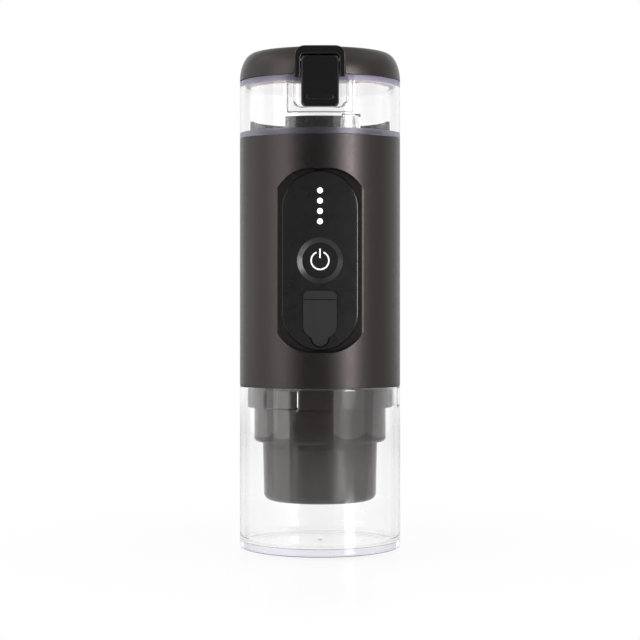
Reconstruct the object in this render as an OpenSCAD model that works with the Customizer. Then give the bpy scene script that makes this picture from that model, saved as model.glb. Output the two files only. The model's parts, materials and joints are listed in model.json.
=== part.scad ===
// Portable electric espresso maker: a clear cup, a capsule chamber, a battery body,
// a clear water tank and a latched lid, stacked on one axis.
// Millimetres, Z up. The front faces -Y and the origin is the middle of the cup's foot.

/* [Stack] */
// Outer diameter of the cup, the body and the tank
body_d = 71; // [69.5:0.5:76]
// Height of the cup
cup_h = 71.6; // [68:0.2:90]
// Height of the painted body
sleeve_h = 108.5; // [104:0.5:130]
// Height of the water tank
tank_h = 25.4; // [24:0.2:45]
// Height of the lid
lid_h = 12.2; // [11:0.1:15]
// Gap between stacked pieces that lift, swing or twist apart
seat_gap = 0.2; // [0.1:0.05:0.4]
// Gap all round between pieces that are pushed together and stay
fit_gap = 0.1; // [0.05:0.01:0.15]
// Gap all round a pin in its bore
run_gap = 0.05; // [0.02:0.01:0.1]

/* [Cup] */
// Wall of the cup
cup_wall = 2.2; // [1.6:0.1:3]
// Thickness of the cup's floor
cup_floor = 3; // [2:0.1:5]
// Radius inside the cup's bottom corner
cup_fillet = 3; // [1:0.5:6]
// Radius outside the cup's bottom edge
cup_edge = 1.5; // [0.5:0.1:2.5]
// Width of the ring that the cup stands on
foot_w = 6; // [4:0.5:10]
// Depth of the hollow inside that ring
foot_rise = 0.8; // [0.3:0.1:1.2]
// How far a grip lug stands in from the cup's wall
grip_t = 1.1; // [0.6:0.1:1.6]
// Height of a grip lug
grip_h = 7.8; // [4:0.2:8.2]
// Distance of the grip lugs below the cup's rim
grip_drop = 1; // [0.5:0.1:2]
// Angle that a grip lug covers
grip_angle = 26; // [15:1:50]
// Number of grip lugs
grip_count = 3; // [2:1:6]
// Gap between the grip lugs and the spigot
grip_gap = 0.2; // [0.1:0.05:0.4]

/* [Body sleeve] */
// Wall of the painted sleeve
sleeve_wall = 1.6; // [1.2:0.1:2.2]
// Radius of the sleeve's lower edge
sleeve_edge = 0.7; // [0.3:0.1:1]
// How far the flat for the panel is cut in from the front of the body
flat_inset = 5; // [4.6:0.1:5.6]
// Width of the flat that shows round the panel
flat_margin = 0.8; // [0.4:0.1:1.5]
// Lean of the flat's rising edge, from square to the flat
flat_lean = 45; // [30:1:55]
// Depth of the frame behind the flat, down to the control board
frame_depth = 6; // [5.6:0.1:7]
// Wall of that frame round the flat
frame_wall = 2; // [1.5:0.1:2.2]
// Gap between the frame's upper end and the chassis
frame_gap_top = 0.3; // [0.2:0.05:3]
// Gap between the frame's lower end and the chassis
frame_gap_foot = 1.4; // [0.2:0.05:3]
// Width of the ledge behind the panel's edge
panel_ledge = 2; // [1.5:0.1:3]

/* [Control panel] */
// Width of the panel
panel_w = 32.4; // [29:0.2:34]
// Thickness of the panel
panel_t = 2.2; // [2:0.1:2.8]
// How far the panel stands out of the flat
panel_proud = 0.4; // [0.2:0.05:0.7]
// Bevel round the panel's face
panel_bevel = 0.35; // [0.1:0.05:0.5]
// Diameter of a level light
light_d = 2.4; // [2:0.1:3.5]
// Spacing of the level lights
light_pitch = 4.4; // [4:0.1:5]
// Number of level lights
light_count = 4; // [2:1:4]
// Distance of the highest light below the panel's top
light_drop = 8.5; // [7:0.1:10]
// Gap between a light and the control board
light_gap = 0.5; // [0.2:0.1:1]

/* [Power button] */
// Outer diameter of the dished ring round the button
dish_d = 19.6; // [17.5:0.1:22]
// Depth of the dish
dish_depth = 0.95; // [0.5:0.05:1.2]
// Diameter of the button
button_d = 14.8; // [12:0.1:16]
// Thickness of the button's face
button_t = 1.3; // [1:0.1:1.6]
// Gap round the button
button_gap = 0.2; // [0.1:0.05:0.3]
// How far the button goes in
button_travel = 0.8; // [0.4:0.1:1]
// How far the button's flange reaches past its edge, behind the panel
button_flange = 0.8; // [0.5:0.1:1.5]
// Thickness of that flange
button_flange_t = 0.8; // [0.5:0.1:1]
// Diameter of the stub behind the button
button_stub_d = 5; // [3:0.1:6]
// Length of that stub
button_stub_h = 0.4; // [0.2:0.1:0.6]
// Outer diameter of the power symbol
symbol_d = 8.2; // [6:0.1:10]
// Width of the symbol's stroke
symbol_stroke = 0.6; // [0.4:0.05:1]
// Angle left open at the top of the symbol's ring
symbol_open = 46; // [30:1:70]
// Height of the symbol's bar above its middle, at the bar's foot
symbol_bar_foot = 1.1; // [0.5:0.1:2]
// Length of the symbol's bar
symbol_bar_h = 4; // [3:0.1:5]
// Depth of the symbol in the button
symbol_t = 0.5; // [0.3:0.1:0.7]

/* [Charging socket] */
// Width of the socket's rubber flap
flap_w = 14.6; // [13:0.1:17]
// Thickness of the flap
flap_t = 1.2; // [0.8:0.1:1.3]
// Gap round the flap
flap_gap = 0.25; // [0.15:0.05:0.4]
// Height of the finger tongue's middle above the panel's foot
tongue_rise = 5.5; // [5:0.1:6.5]
// Height of the fixed strip above the crease
strip_h = 3.8; // [3:0.1:4.2]
// Radius of the strip's upper corners
strip_corner = 2.7; // [1:0.1:2.9]
// Gap between the strip and the dished ring
strip_gap = 3.05; // [1:0.05:4]
// Height of the flap's lower corners above the tongue's middle
flap_taper = 5.2; // [4.5:0.1:6]
// Radius of the flap's lower corners
flap_corner = 5.2; // [4:0.1:6]
// Angle through which the flap's lower corners turn
flap_turn = 60; // [45:1:70]
// Width of the finger tongue
tongue_w = 7.2; // [6:0.1:8]
// Width of the finger notch round the tongue
notch_w = 0.6; // [0.4:0.1:1]
// Depth of the finger notch
notch_depth = 1.7; // [1.4:0.1:1.8]
// Diameter of the peg that holds the strip
peg_d = 3; // [2:0.1:3.4]
// Width of the charging socket
socket_w = 9; // [8:0.1:10]
// Height of the charging socket
socket_h = 3.3; // [3:0.1:4]
// Wall of the charging socket
socket_wall = 0.35; // [0.25:0.05:0.5]
// Distance of the socket's middle below the crease
socket_drop = 7.6; // [6:0.1:9]
// Gap between the socket and the panel's window
socket_gap = 0.6; // [0.3:0.1:0.8]
// Depth of the socket's mouth
socket_mouth = 3.8; // [3:0.1:4]
// Width of the tongue inside the socket
contact_w = 6.6; // [5:0.1:7]
// Thickness of that tongue
contact_t = 0.7; // [0.5:0.1:0.9]
// Length of that tongue
contact_l = 3; // [2:0.1:3.2]

/* [Water tank] */
// Wall of the tank
tank_wall = 2.2; // [1.6:0.1:2.6]
// Height of the tank's thick base flange
flange_h = 2.6; // [2:0.1:4]
// Width of that flange
flange_w = 4.2; // [3.6:0.1:4.6]
// Width of the pocket for the latch
pocket_w = 22.5; // [22.4:0.1:24]
// How far the pocket goes in from the front of the tank
pocket_inset = 5.3; // [5:0.1:6]
// Height of the ledge under the latch above the foot of the tank
ledge_rise = 11.4; // [9:0.1:12]
// Thickness of that ledge
ledge_t = 2.2; // [1.5:0.1:3]
// Width of the catch behind the latch
catch_w = 8; // [4:0.5:12]
// Height of the catch
catch_h = 2.5; // [1:0.1:4]
// How far the catch stands out of the pocket
catch_t = 1; // [0.5:0.1:1.1]
// Height of the catch above the ledge
catch_rise = 2.4; // [2:0.1:4]

// Height of the stop beside the collar's front tab
stop_h = 8.4; // [6:0.1:8.8]
// Angle that the stop covers
stop_angle = 13; // [8:1:20]
// Angle from the front round to the stop
stop_at_angle = 23; // [20:1:40]

/* [Tank collar] */
// Height of the collar inside the foot of the tank
collar_h = 7.9; // [5:0.1:9]
// Wall of the collar
collar_t = 1.8; // [1.2:0.1:2.5]
// Gap between the collar and the tank's flange
collar_gap = 0.3; // [0.2:0.05:0.6]
// Height of the collar's unbroken foot
collar_foot = 2.4; // [1:0.1:4]
// Height of the groove across the front tab
tab_groove_h = 0.8; // [0.4:0.1:1.2]
// Depth of that groove
tab_groove = 0.5; // [0.3:0.1:1]
// Height of that groove above the foot of the tank
tab_groove_rise = 4.6; // [3:0.1:6]
// Angle that the groove covers
tab_groove_angle = 26; // [16:1:36]
// Angle that the collar's front tab covers
tab_angle = 56; // [40:1:80]
// Angle that each gap beside the tab covers
tab_gap_angle = 60; // [20:1:80]
// Angle that the gap at the back covers
back_gap_angle = 40; // [20:1:80]

/* [Lid] */
// Wall of the lid
lid_wall = 1.8; // [1.4:0.1:2.2]
// How far the lid's rounded edge reaches in from its side
lid_edge = 6.5; // [5:0.1:9]
// Thickness of the plate that closes the lid
plate_t = 2.4; // [1.6:0.1:2.6]
// Gap between that plate and the lid's wall
plate_gap = 0.3; // [0.3:0.05:0.6]
// Depth of the plug under the plate
plug_h = 3.5; // [3:0.1:5]
// Gap between the plug and the tank's wall, where the seal sits
plug_gap = 2.7; // [2:0.1:4]
// Gap between the lid's seal and the tank
seal_gap = 0.6; // [0.4:0.05:1]
// Height of the lid's seal
seal_h = 1.8; // [1:0.1:2.2]
// Distance of the seal above the plug's end
seal_rise = 0.6; // [0.3:0.1:1]
// Diameter of the hinge's knuckles
hinge_d = 4; // [3.4:0.1:4.4]
// Diameter of the hinge pin
hinge_pin_d = 2; // [1.5:0.1:2.4]
// Height of the hinge pin above the tank's rim
hinge_rise = 0.9; // [0.6:0.1:1.2]
// Distance of the hinge pin in from the back of the tank
hinge_inset = 2.3; // [2.2:0.1:2.6]
// Distance of each lid knuckle from the middle
knuckle_x = 9.5; // [7:0.1:10]
// Width of a lid knuckle
knuckle_w = 4; // [3:0.1:5]
// Width of a tank ear
ear_w = 3.2; // [2.5:0.1:4]
// How far an ear runs down the tank's wall
ear_h = 5; // [3:0.1:8]
// Thickness of the hinge leaf on the lid's plate
leaf_t = 1.2; // [0.8:0.1:2]
// How far the hinge leaf reaches over the plate
leaf_l = 7; // [4:0.1:12]
// Gap beside a knuckle
hinge_side_gap = 0.3; // [0.2:0.05:0.5]
// Room round the hinge in the lid and in the tank's rim
hinge_room = 0.6; // [0.4:0.05:1]
// Height of the lid's hinge cut-out above the pin
hinge_cut = 3; // [2.8:0.1:4]

/* [Latch] */
// Width of the arch round the latch
bezel_w = 21.7; // [20.7:0.1:22]
// Radius of the arch's upper corners
bezel_corner = 4.4; // [2:0.1:5]
// How far the arch hangs below the lid's edge
bezel_drop = 1.2; // [0.5:0.1:2]
// Distance of the arch below the top of the lid
bezel_head = 1; // [0.8:0.1:1.5]
// Distance of the arch in from the front of the body
bezel_inset = 1.1; // [0.9:0.1:1.4]
// Depth of the arch
bezel_depth = 3.8; // [3.2:0.1:3.9]
// Width of the latch flap
latch_w = 16.1; // [14:0.1:16.6]
// Gap beside the latch flap
latch_gap = 0.3; // [0.2:0.05:0.4]
// Gap over the latch flap, in which its head swings
latch_head_gap = 0.7; // [0.6:0.05:1]
// Thickness of the latch flap
latch_t = 2.4; // [2:0.1:2.6]
// Distance of the latch flap in from the front of the body
latch_inset = 0.8; // [0.5:0.1:1]
// Distance of the latch flap's head below the top of the lid
latch_head = 4.5; // [4.2:0.1:5]
// Distance of the latch pin below the flap's head
latch_pin_drop = 1.7; // [1.5:0.1:1.9]
// Distance of the latch pin behind the flap's face
latch_pin_inset = 1.8; // [1.7:0.1:2]
// Diameter of the latch pin
latch_pin_d = 1.6; // [1.2:0.1:1.8]
// Diameter of the knuckle round the latch pin
latch_knuckle_d = 3.2; // [2.8:0.1:3.3]
// How far the latch pin goes into each side of the arch
latch_pin_grip = 1.8; // [1:0.1:2]
// Radius of the latch flap's corners
latch_corner = 1.8; // [1:0.1:3]
// Bevel round the latch flap's face
latch_bevel = 0.6; // [0.5:0.05:0.8]
// Width of the grip bar on the latch flap
bar_w = 11.5; // [8:0.1:13]
// Height of the grip bar
bar_h = 2; // [1:0.1:3]
// How far the grip bar stands out
bar_t = 0.35; // [0.2:0.05:0.4]
// Height of the grip bar above the flap's lower edge
bar_rise = 3.8; // [3:0.1:6]
// How far the flap's detent rib stands out of its back
detent_t = 0.6; // [0.3:0.1:0.7]
// Height of the detent rib
detent_h = 1; // [0.6:0.1:1.2]

/* [Brew head] */
// Thickness of the brew head inside the sleeve
head_t = 6; // [5:0.1:8]
// How far the spigot reaches below the body
spigot_h = 9.4; // [9:0.1:11]
// Height of the bayonet lip at the spigot's end
lip_h = 3.2; // [2.5:0.1:4]
// Width of that lip, from the spigot's outside
lip_w = 5.4; // [5:0.1:6]
// Height of the bayonet groove above the lip
groove_h = 4.6; // [4:0.1:5]
// Wall of the spigot outside the groove
spigot_wall = 2.7; // [2:0.1:3]
// Diameter of the boss that presses on the capsule
press_d = 39; // [36:0.5:42]
// Gap between the gasket and the capsule basket
press_gap = 0.5; // [0.3:0.1:1]
// Width of the gasket
gasket_w = 4.5; // [3:0.1:6]
// Distance of the gasket in from the boss's side
gasket_inset = 0.5; // [0.4:0.1:1]
// Thickness of the gasket
gasket_t = 3.3; // [2.5:0.1:4]
// How far the gasket is sunk into the boss
gasket_sunk = 1; // [0.6:0.1:1.4]
// Thickness of the shower plate
shower_t = 1.5; // [1:0.1:1.6]
// Diameter of the needle on the shower plate
needle_d = 3; // [2:0.1:4]
// Length of the needle
needle_h = 6.5; // [4:0.1:8]
// Radius of the circle of shower holes
shower_ring_r = 8; // [6:0.1:9]
// Diameter of a shower hole
shower_hole_d = 1.6; // [1:0.1:2]
// Number of shower holes
shower_holes = 8; // [4:1:12]
// Diameter of the water way through the brew head
water_way_d = 3; // [2:0.1:4]

/* [Capsule chamber] */
// How far the bayonet ring steps in from the spigot
ring_step = 2.9; // [2.6:0.1:4]
// Height of the bayonet ring
ring_h = 14.8; // [12:0.1:18]
// Gap between the spigot and the bayonet ring
ring_gap = 0.5; // [0.4:0.1:0.8]
// Height of the seam line above the ring's lower edge
ring_seam_rise = 2; // [1.8:0.1:4]
// Depth and height of that seam line
ring_seam = 0.3; // [0.2:0.05:0.4]
// Radius of the ring's lower edge
ring_edge = 1.5; // [0.8:0.1:1.7]
// Wall of the neck inside the spigot
neck_wall = 1.9; // [1.5:0.1:2.2]
// Gap between the neck or its lugs and the spigot
twist_gap = 0.3; // [0.2:0.05:0.5]
// Number of bayonet lugs
lug_count = 3; // [2:1:3]
// Angle that a bayonet lug covers
lug_angle = 30; // [20:1:34]
// Angle that an entry slot is wider than its lug
entry_extra = 6; // [4:1:10]
// Angle of the twist from locked to open
twist_angle = 50; // [45:1:60]
// How far the chamber steps in from the bayonet ring
chamber_step = 3.8; // [3.4:0.1:4.2]
// How far the chamber reaches below the ring
chamber_drop = 25.9; // [22:0.1:30]
// How much the chamber's radius narrows to its end
chamber_taper = 0.5; // [0.2:0.1:1.2]
// Wall of the chamber
chamber_wall = 2.2; // [1.6:0.1:2.4]
// Thickness of the chamber's floor
chamber_floor = 2.2; // [1.6:0.1:3]
// Radius of the chamber's lower edge
chamber_edge = 3; // [1.5:0.1:4]
// How far the chamber goes up into the ring
chamber_seat = 8.7; // [6:0.1:9]
// Diameter of the spout hole
spout_d = 6; // [4:0.1:8]
// Gap between the chamber or the basket's flange and the ring
chamber_gap = 0.2; // [0.1:0.05:0.3]
// Thickness of the basket's flange
basket_flange = 1.6; // [1.2:0.1:2.4]
// Inner diameter of the basket at its mouth
capsule_d = 31.6; // [30:0.1:33]
// How much the basket's radius narrows to its floor
basket_taper = 2.8; // [2:0.1:3.5]
// Wall of the basket
basket_wall = 1.2; // [1:0.1:2]
// Depth of the basket below its flange
basket_h = 27; // [24:0.1:29]
// Thickness of the basket's floor
basket_floor = 1.4; // [1:0.1:2]
// Width of the ledge that carries the outlet grid
grid_ledge = 3.5; // [2:0.1:5]
// Thickness of the outlet grid
grid_t = 1.2; // [0.8:0.1:2]
// Diameter of a grid hole
grid_hole_d = 1.4; // [1:0.1:1.8]
// Spacing of the grid holes
grid_pitch = 3.6; // [3:0.1:5]

/* [Heater] */
// Thickness of the deck under the tank
deck_t = 6.5; // [6:0.1:9]
// Thickness of the heater plate
heater_t = 1.2; // [0.8:0.1:2]
// Diameter of the heating element's ring, at its middle
element_d = 28; // [24:0.5:30]
// Width of the heating element
element_w = 6; // [4:0.1:8]
// Height of the heating element
element_h = 4; // [3:0.1:4.4]
// Room round the heating element
element_room = 2; // [1:0.1:3]
// Diameter of the temperature sensor
sensor_d = 4.4; // [3:0.1:6]
// Height of the temperature sensor
sensor_h = 3.3; // [2:0.1:4]
// Width of the tank's seal
seal_w = 1.6; // [1.2:0.1:2]
// Depth of the tank's seal in the deck
seal_t = 1.2; // [0.8:0.1:1.6]

/* [Pump] */
// Gap between the pump head and the control board
pump_board_gap = 1.9; // [0.5:0.1:4]
// Gap between the pump head and the cell holder
pump_cell_gap = 1.57; // [0.5:0.01:3]
// Height of the pump head
pump_h = 23.7; // [20:0.1:28]
// How far the pump motor steps in from the pump head
motor_step = 0.8; // [0.2:0.1:2]
// Height of the pump motor
motor_h = 31; // [26:0.1:40]
// Diameter of the motor's end bush
bush_d = 8; // [6:0.1:10]
// Height of the motor's end bush
bush_h = 1.8; // [1:0.1:3]
// Diameter of the pump's outlet nipple
nipple_d = 6; // [5:0.1:7]
// Length of that nipple below the chassis
nipple_h = 3.5; // [2:0.1:4.5]
// Distance of the water outlet to the right of the axis
outlet_x = 17; // [16:0.1:18]
// Distance of the water outlet in front of the axis
outlet_front = 15; // [14:0.1:16]
// Outer diameter of the inlet hose
hose_d = 6; // [5:0.1:6.5]
// Bore of the inlet hose
hose_bore = 3; // [2:0.1:3.5]
// Length of the barbs in the hose
barb_h = 6; // [4:0.1:8]
// Height of the pump's inlet arm above the chassis
inlet_rise = 10; // [8:0.1:14]

/* [Chassis] */
// Thickness of the chassis plates
chassis_t = 2.5; // [2:0.1:3]
// Diameter of the chassis posts
post_d = 6; // [5:0.1:7]
// Distance of the chassis posts in from the plates' edge
post_inset = 4.8; // [4:0.1:5]
// Distance of the chassis screws in from the plates' edge
screw_inset = 3; // [2.8:0.1:3.4]
// Diameter of a chassis screw
screw_d = 3; // [2:0.1:3]
// Length of a chassis screw under its head
screw_l = 6.5; // [5:0.1:7]
// Diameter of a screw's head
screw_head_d = 5; // [4:0.1:5.2]
// Height of a screw's head
screw_head_h = 2; // [1.5:0.1:3]
// Gap round a screw in the chassis plates
screw_gap = 0.2; // [0.1:0.05:0.4]
// Thickness of the control board
board_t = 1.6; // [1:0.1:1.8]
// How far the control board reaches past the frame's window
board_margin = 1.2; // [0.8:0.1:2]
// Width of the button's switch
switch_w = 6; // [5:0.1:7]
// Height of the switch's case
switch_h = 2.2; // [1.8:0.1:2.3]
// Diameter of the switch's plunger
plunger_d = 3; // [2:0.1:3.5]
// Gap that is left between the button and the plunger at full press
press_stop = 0.1; // [0.05:0.05:0.2]

/* [Battery] */
// Diameter of a battery cell
cell_d = 18.2; // [17:0.1:18.6]
// Length of a battery cell
cell_h = 65; // [60:0.5:70]
// Gap between the cell holder and the chassis plates' edge
cell_room = 2.25; // [1.5:0.05:3]
// Angle between neighbouring cells
cell_spread = 68; // [62:1:70]
// Diameter of a cell's raised end
cell_cap_d = 6; // [5:0.1:8]
// Height of that end
cell_cap_h = 1; // [0.5:0.1:1.5]
// Gap round a cell in its holder
cell_gap = 0.15; // [0.1:0.05:0.25]
// Wall of the cell holder
tray_wall = 1.3; // [1:0.1:1.5]
// Thickness of the cell holder's floor
tray_floor = 2; // [1:0.1:3]
// Height of the cell holder
tray_h = 14; // [8:0.1:20]
// Width of the web between the cell holder's cups
web_w = 8; // [5:0.1:9]

/* [Hidden] */

$fn = 96;
// Steps in a rounded corner of an outline
corner_steps = 8;
// How far a cutting shape runs past the face that it cuts
cut = 1;
// How far a piece of a union runs into its neighbour
bite = 0.4;

// Heights of the stack
body_r = body_d / 2;
z_sleeve = cup_h + seat_gap;
z_deck = z_sleeve + sleeve_h;
z_rim = z_deck + tank_h;
z_lid = z_rim + seat_gap;
z_top = z_lid + lid_h;

// Heights of the chassis
z_deck_low = z_deck - deck_t;
z_head_top = z_sleeve + head_t;
z_floor = z_head_top + chassis_t;
z_ceiling = z_deck_low - chassis_t;

// Radii that fit one inside the next
sleeve_in = body_r - sleeve_wall;
core_r = sleeve_in - fit_gap;
cup_in = body_r - cup_wall;
spigot_r = cup_in - grip_t - grip_gap;
tank_in = body_r - tank_wall;

// Control panel, front to back
y_flat = -(body_r - flat_inset);
y_panel = y_flat - panel_proud;
y_panel_back = y_panel + panel_t;
y_board = y_flat + frame_depth;
lean_in = (flat_inset - sleeve_wall) * tan(flat_lean);
frame_reach = flat_margin + lean_in + frame_wall;
z_panel_top = z_ceiling - frame_gap_top - frame_reach;
z_panel_foot = z_floor + frame_gap_foot + frame_reach;
panel_h = z_panel_top - z_panel_foot;
z_panel = (z_panel_top + z_panel_foot) / 2;
window_w = panel_w - 2 * panel_ledge;
window_h = panel_h - 2 * panel_ledge;
hole_d = button_d + 2 * button_gap;
y_button = y_panel + dish_depth;
y_button_back = y_button + button_t;
y_stub = y_button_back + button_stub_h;
y_flange = y_panel_back + seat_gap;
z_tongue = z_panel_foot + tongue_rise;
z_crease = z_panel - dish_d / 2 - strip_gap - strip_h;
z_socket = z_crease - socket_drop;
y_flap_back = y_panel + flap_t;
y_flap_floor = y_flap_back + fit_gap;
y_socket = y_flap_floor + seat_gap;

// Tank, lid and hinge
y_pocket = -(body_r - pocket_inset);
z_ledge = z_deck + ledge_rise;
y_hinge = body_r - hinge_inset;
z_hinge = z_rim + hinge_rise;
knuckle_end = knuckle_x + knuckle_w / 2;
ear_x = knuckle_end + hinge_side_gap + ear_w / 2;
hinge_half = ear_x + ear_w / 2;
y_leaf = y_hinge - hinge_d / 2 - hinge_room;
lid_in = body_r - lid_wall;
plate_r = lid_in - plate_gap;
plug_r = tank_in - plug_gap;
y_seal = y_pocket + tank_wall + seal_gap;
y_plug = y_seal + plug_gap - seal_gap;
y_lid_front = -(body_r - bezel_inset) + bezel_depth + hinge_room;

// Latch
y_bezel = -(body_r - bezel_inset);
z_bezel = z_lid - bezel_drop;
z_bezel_top = z_top - bezel_head;
y_latch = -(body_r - latch_inset);
z_latch_top = z_top - latch_head;
z_latch = z_ledge + latch_gap;
z_latch_pin = z_latch_top - latch_pin_drop;
y_latch_pin = y_latch + latch_pin_inset;
latch_slot_w = latch_w + 2 * latch_gap;

// Brew head and capsule chamber
z_spigot = z_sleeve - spigot_h;
z_groove = z_spigot + lip_h;
z_head_cavity = z_groove + groove_h;
lip_r = spigot_r - lip_w;
groove_r = spigot_r - spigot_wall;
ring_r = spigot_r - ring_step;
z_ring_top = z_spigot - ring_gap;
z_ring = z_ring_top - ring_h;
z_chamber = z_ring - chamber_drop;
z_chamber_top = z_ring + chamber_seat;
chamber_r = ring_r - chamber_step;
neck_r = lip_r - twist_gap;
neck_in = neck_r - neck_wall;
z_neck_top = z_head_cavity - twist_gap;
z_basket = z_chamber_top - basket_h;
basket_r = capsule_d / 2 + basket_wall;
basket_floor_r = capsule_d / 2 - basket_taper;
z_gasket = z_chamber_top + basket_flange + press_gap;
z_press = z_gasket + gasket_t - gasket_sunk;
gasket_r = press_d / 2 - gasket_inset;
shower_r = gasket_r - gasket_w - fit_gap;

// Heater, chassis, pump and battery
collar_r = body_r - flange_w - collar_gap;
heater_r = collar_r - collar_t - fit_gap;
pocket_r = (element_d + element_w) / 2 + element_room;
post_ring_r = core_r - post_inset;
post_angles = [-10, 59, 121, 190];
screw_ring_r = core_r - screw_inset;
screw_angles = [46, 134, 210, 330];
cup_d = cell_d + 2 * cell_gap + 2 * tray_wall;
cell_ring_r = core_r - cell_room - cup_d / 2;
cell_angles = [90 - cell_spread, 90, 90 + cell_spread];
outlet = [outlet_x, -outlet_front];

// The pump head is the largest that clears the control board and the two front cells
board_front = -(y_board + board_t);
pump_reach = board_front - pump_board_gap + cup_d / 2 + pump_cell_gap;
pump_front = (pow(pump_reach, 2) - pow(cell_ring_r, 2)) / (2 * (pump_reach + cell_ring_r * cos(cell_spread)));
pump_d = 2 * (board_front - pump_board_gap - pump_front);
motor_d = pump_d - 2 * motor_step;
pump = [0, -pump_front];
z_inlet = z_floor + inlet_rise;
z_hose = z_inlet + hose_d / 2;

// Colours
paint = "#474244";
gloss_black = "#262425";
satin_black = "#333132";
dark_gloss = "#4a4646";
clear = "#e6e9f4";
clear_alpha = 0.35;
pale = "#d9d7de";
rubber_grey = "#3a3938";
steel = "#b9bbbd";
lit = "#ffffff";

// Points on an arc about [x, y], from angle a to angle b
function arc(x, y, r, a, b) = [
    for (i = [0:corner_steps])
        [x + r * cos(a + (b - a) * i / corner_steps), y + r * sin(a + (b - a) * i / corner_steps)]
];

// Points on a quarter ellipse from the side [x + a, y] to the top [x, y + b]
function quarter_ellipse(x, y, a, b) = [
    for (i = [0:2 * corner_steps])
        [x + a * cos(45 * i / corner_steps), y + b * sin(45 * i / corner_steps)]
];

// Outline of an upright panel w wide, from low to high, with rounded upper corners
function arch(w, low, high, r) = concat(
    [[-w / 2, low], [w / 2, low]],
    arc(w / 2 - r, high - r, r, 0, 90),
    arc(r - w / 2, high - r, r, 90, 180)
);

// Outline of an upright panel with all four corners rounded
function rounded(w, low, high, r) = concat(
    arc(r - w / 2, low + r, r, 180, 270),
    arc(w / 2 - r, low + r, r, 270, 360),
    arc(w / 2 - r, high - r, r, 0, 90),
    arc(r - w / 2, high - r, r, 90, 180)
);

// Outline of the socket flap below its crease, grown by g all round
function flap_outline(top, g) = concat(
    [[flap_w / 2 + g, top]],
    arc(flap_w / 2 - flap_corner, z_tongue + flap_taper, flap_corner + g, 0, -flap_turn),
    arc(0, z_tongue, tongue_w / 2 + g, 0, -180),
    arc(flap_corner - flap_w / 2, z_tongue + flap_taper, flap_corner + g, 180 + flap_turn, 180),
    [[-flap_w / 2 - g, top]]
);

// Stands an outline up at y and carries it forward by t
module stand(y, t) {
    translate([0, y, 0])
        rotate([90, 0, 0])
            linear_extrude(t)
                children();
}

// Cylinder along Y from y_front back by t
module rod_y(d, x, y_front, z, t) {
    translate([x, y_front, z])
        rotate([-90, 0, 0])
            cylinder(d = d, h = t);
}

// Cylinder along X, centred on x
module rod_x(d, l, x, y, z) {
    translate([x, y, z])
        rotate([0, 90, 0])
            cylinder(d = d, h = l, center = true);
}

// Upright slot-shaped block from y = 0 forward to y = -t, whose sides lean out by lean
module slot_block(w, h, t, lean = 0) {
    for (end = [0, 1])
        mirror([0, 0, end])
            translate([0, 0, (h - w) / 2])
                rotate([90, 0, 0])
                    rotate_extrude(angle = 180)
                        polygon([[0, 0], [w / 2, 0], [w / 2 + lean, t], [0, t]]);
    translate([0, 0, -(h - w) / 2])
        linear_extrude(h - w)
            polygon([[-w / 2, 0], [w / 2, 0], [w / 2 + lean, -t], [-w / 2 - lean, -t]]);
}

// Part of a ring, centred on angle at
module ring_part(r_in, r_out, low, high, angle, at) {
    rotate([0, 0, at - angle / 2])
        rotate_extrude(angle = angle)
            translate([r_in, low])
                square([r_out - r_in, high - low]);
}

// Round disc cut straight across at y = front
module d_disc(r, front, low, high) {
    intersection() {
        translate([0, 0, low])
            cylinder(r = r, h = high - low);
        translate([-r - cut, front, low - cut])
            cube([2 * (r + cut), r - front + cut, high - low + 2 * cut]);
    }
}

// Screws under each chassis end, or the holes for them
module screw_holes(z, d, l) {
    for (a = screw_angles)
        rotate([0, 0, a])
            translate([screw_ring_r, 0, z])
                cylinder(d = d, h = l);
}

module cup() {
    foot_in = body_r - cup_edge - foot_w;
    color(clear, clear_alpha)
        union() {
            rotate_extrude()
                polygon(concat(
                    [[0, foot_rise], [foot_in - foot_rise, foot_rise], [foot_in, 0]],
                    arc(body_r - cup_edge, cup_edge, cup_edge, -90, 0),
                    [[body_r, cup_h], [cup_in, cup_h]],
                    arc(cup_in - cup_fillet, cup_floor + cup_fillet, cup_fillet, 0, -90),
                    [[0, cup_floor]]
                ));
            for (i = [0:grip_count - 1])
                ring_part(cup_in - grip_t, cup_in + cup_wall / 2, cup_h - grip_drop - grip_h,
                    cup_h - grip_drop, grip_angle, i * 360 / grip_count);
        }
}

module body_sleeve() {
    frame_w = panel_w + 2 * (flat_margin + frame_wall);
    frame_h = panel_h + 2 * frame_reach;
    rise = flat_inset + cut;
    color(paint)
        difference() {
            union() {
                rotate_extrude()
                    polygon(concat(
                        [[sleeve_in, z_sleeve]],
                        arc(body_r - sleeve_edge, z_sleeve + sleeve_edge, sleeve_edge, -90, 0),
                        [[body_r, z_deck], [sleeve_in, z_deck]]
                    ));
                intersection() {
                    translate([0, 0, z_panel - frame_h / 2])
                        cylinder(r = sleeve_in + bite, h = frame_h);
                    translate([-frame_w / 2, -body_r, z_panel - frame_h / 2 - cut])
                        cube([frame_w, body_r + y_board, frame_h + 2 * cut]);
                }
            }
            translate([0, y_flat, z_panel])
                slot_block(panel_w + 2 * flat_margin, panel_h + 2 * flat_margin, rise,
                    rise * tan(flat_lean));
            translate([0, y_panel_back, z_panel])
                slot_block(panel_w + 2 * fit_gap, panel_h + 2 * fit_gap, panel_t);
            translate([0, y_board + cut, z_panel])
                slot_block(window_w, window_h, frame_depth + 2 * cut);
        }
}

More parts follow.
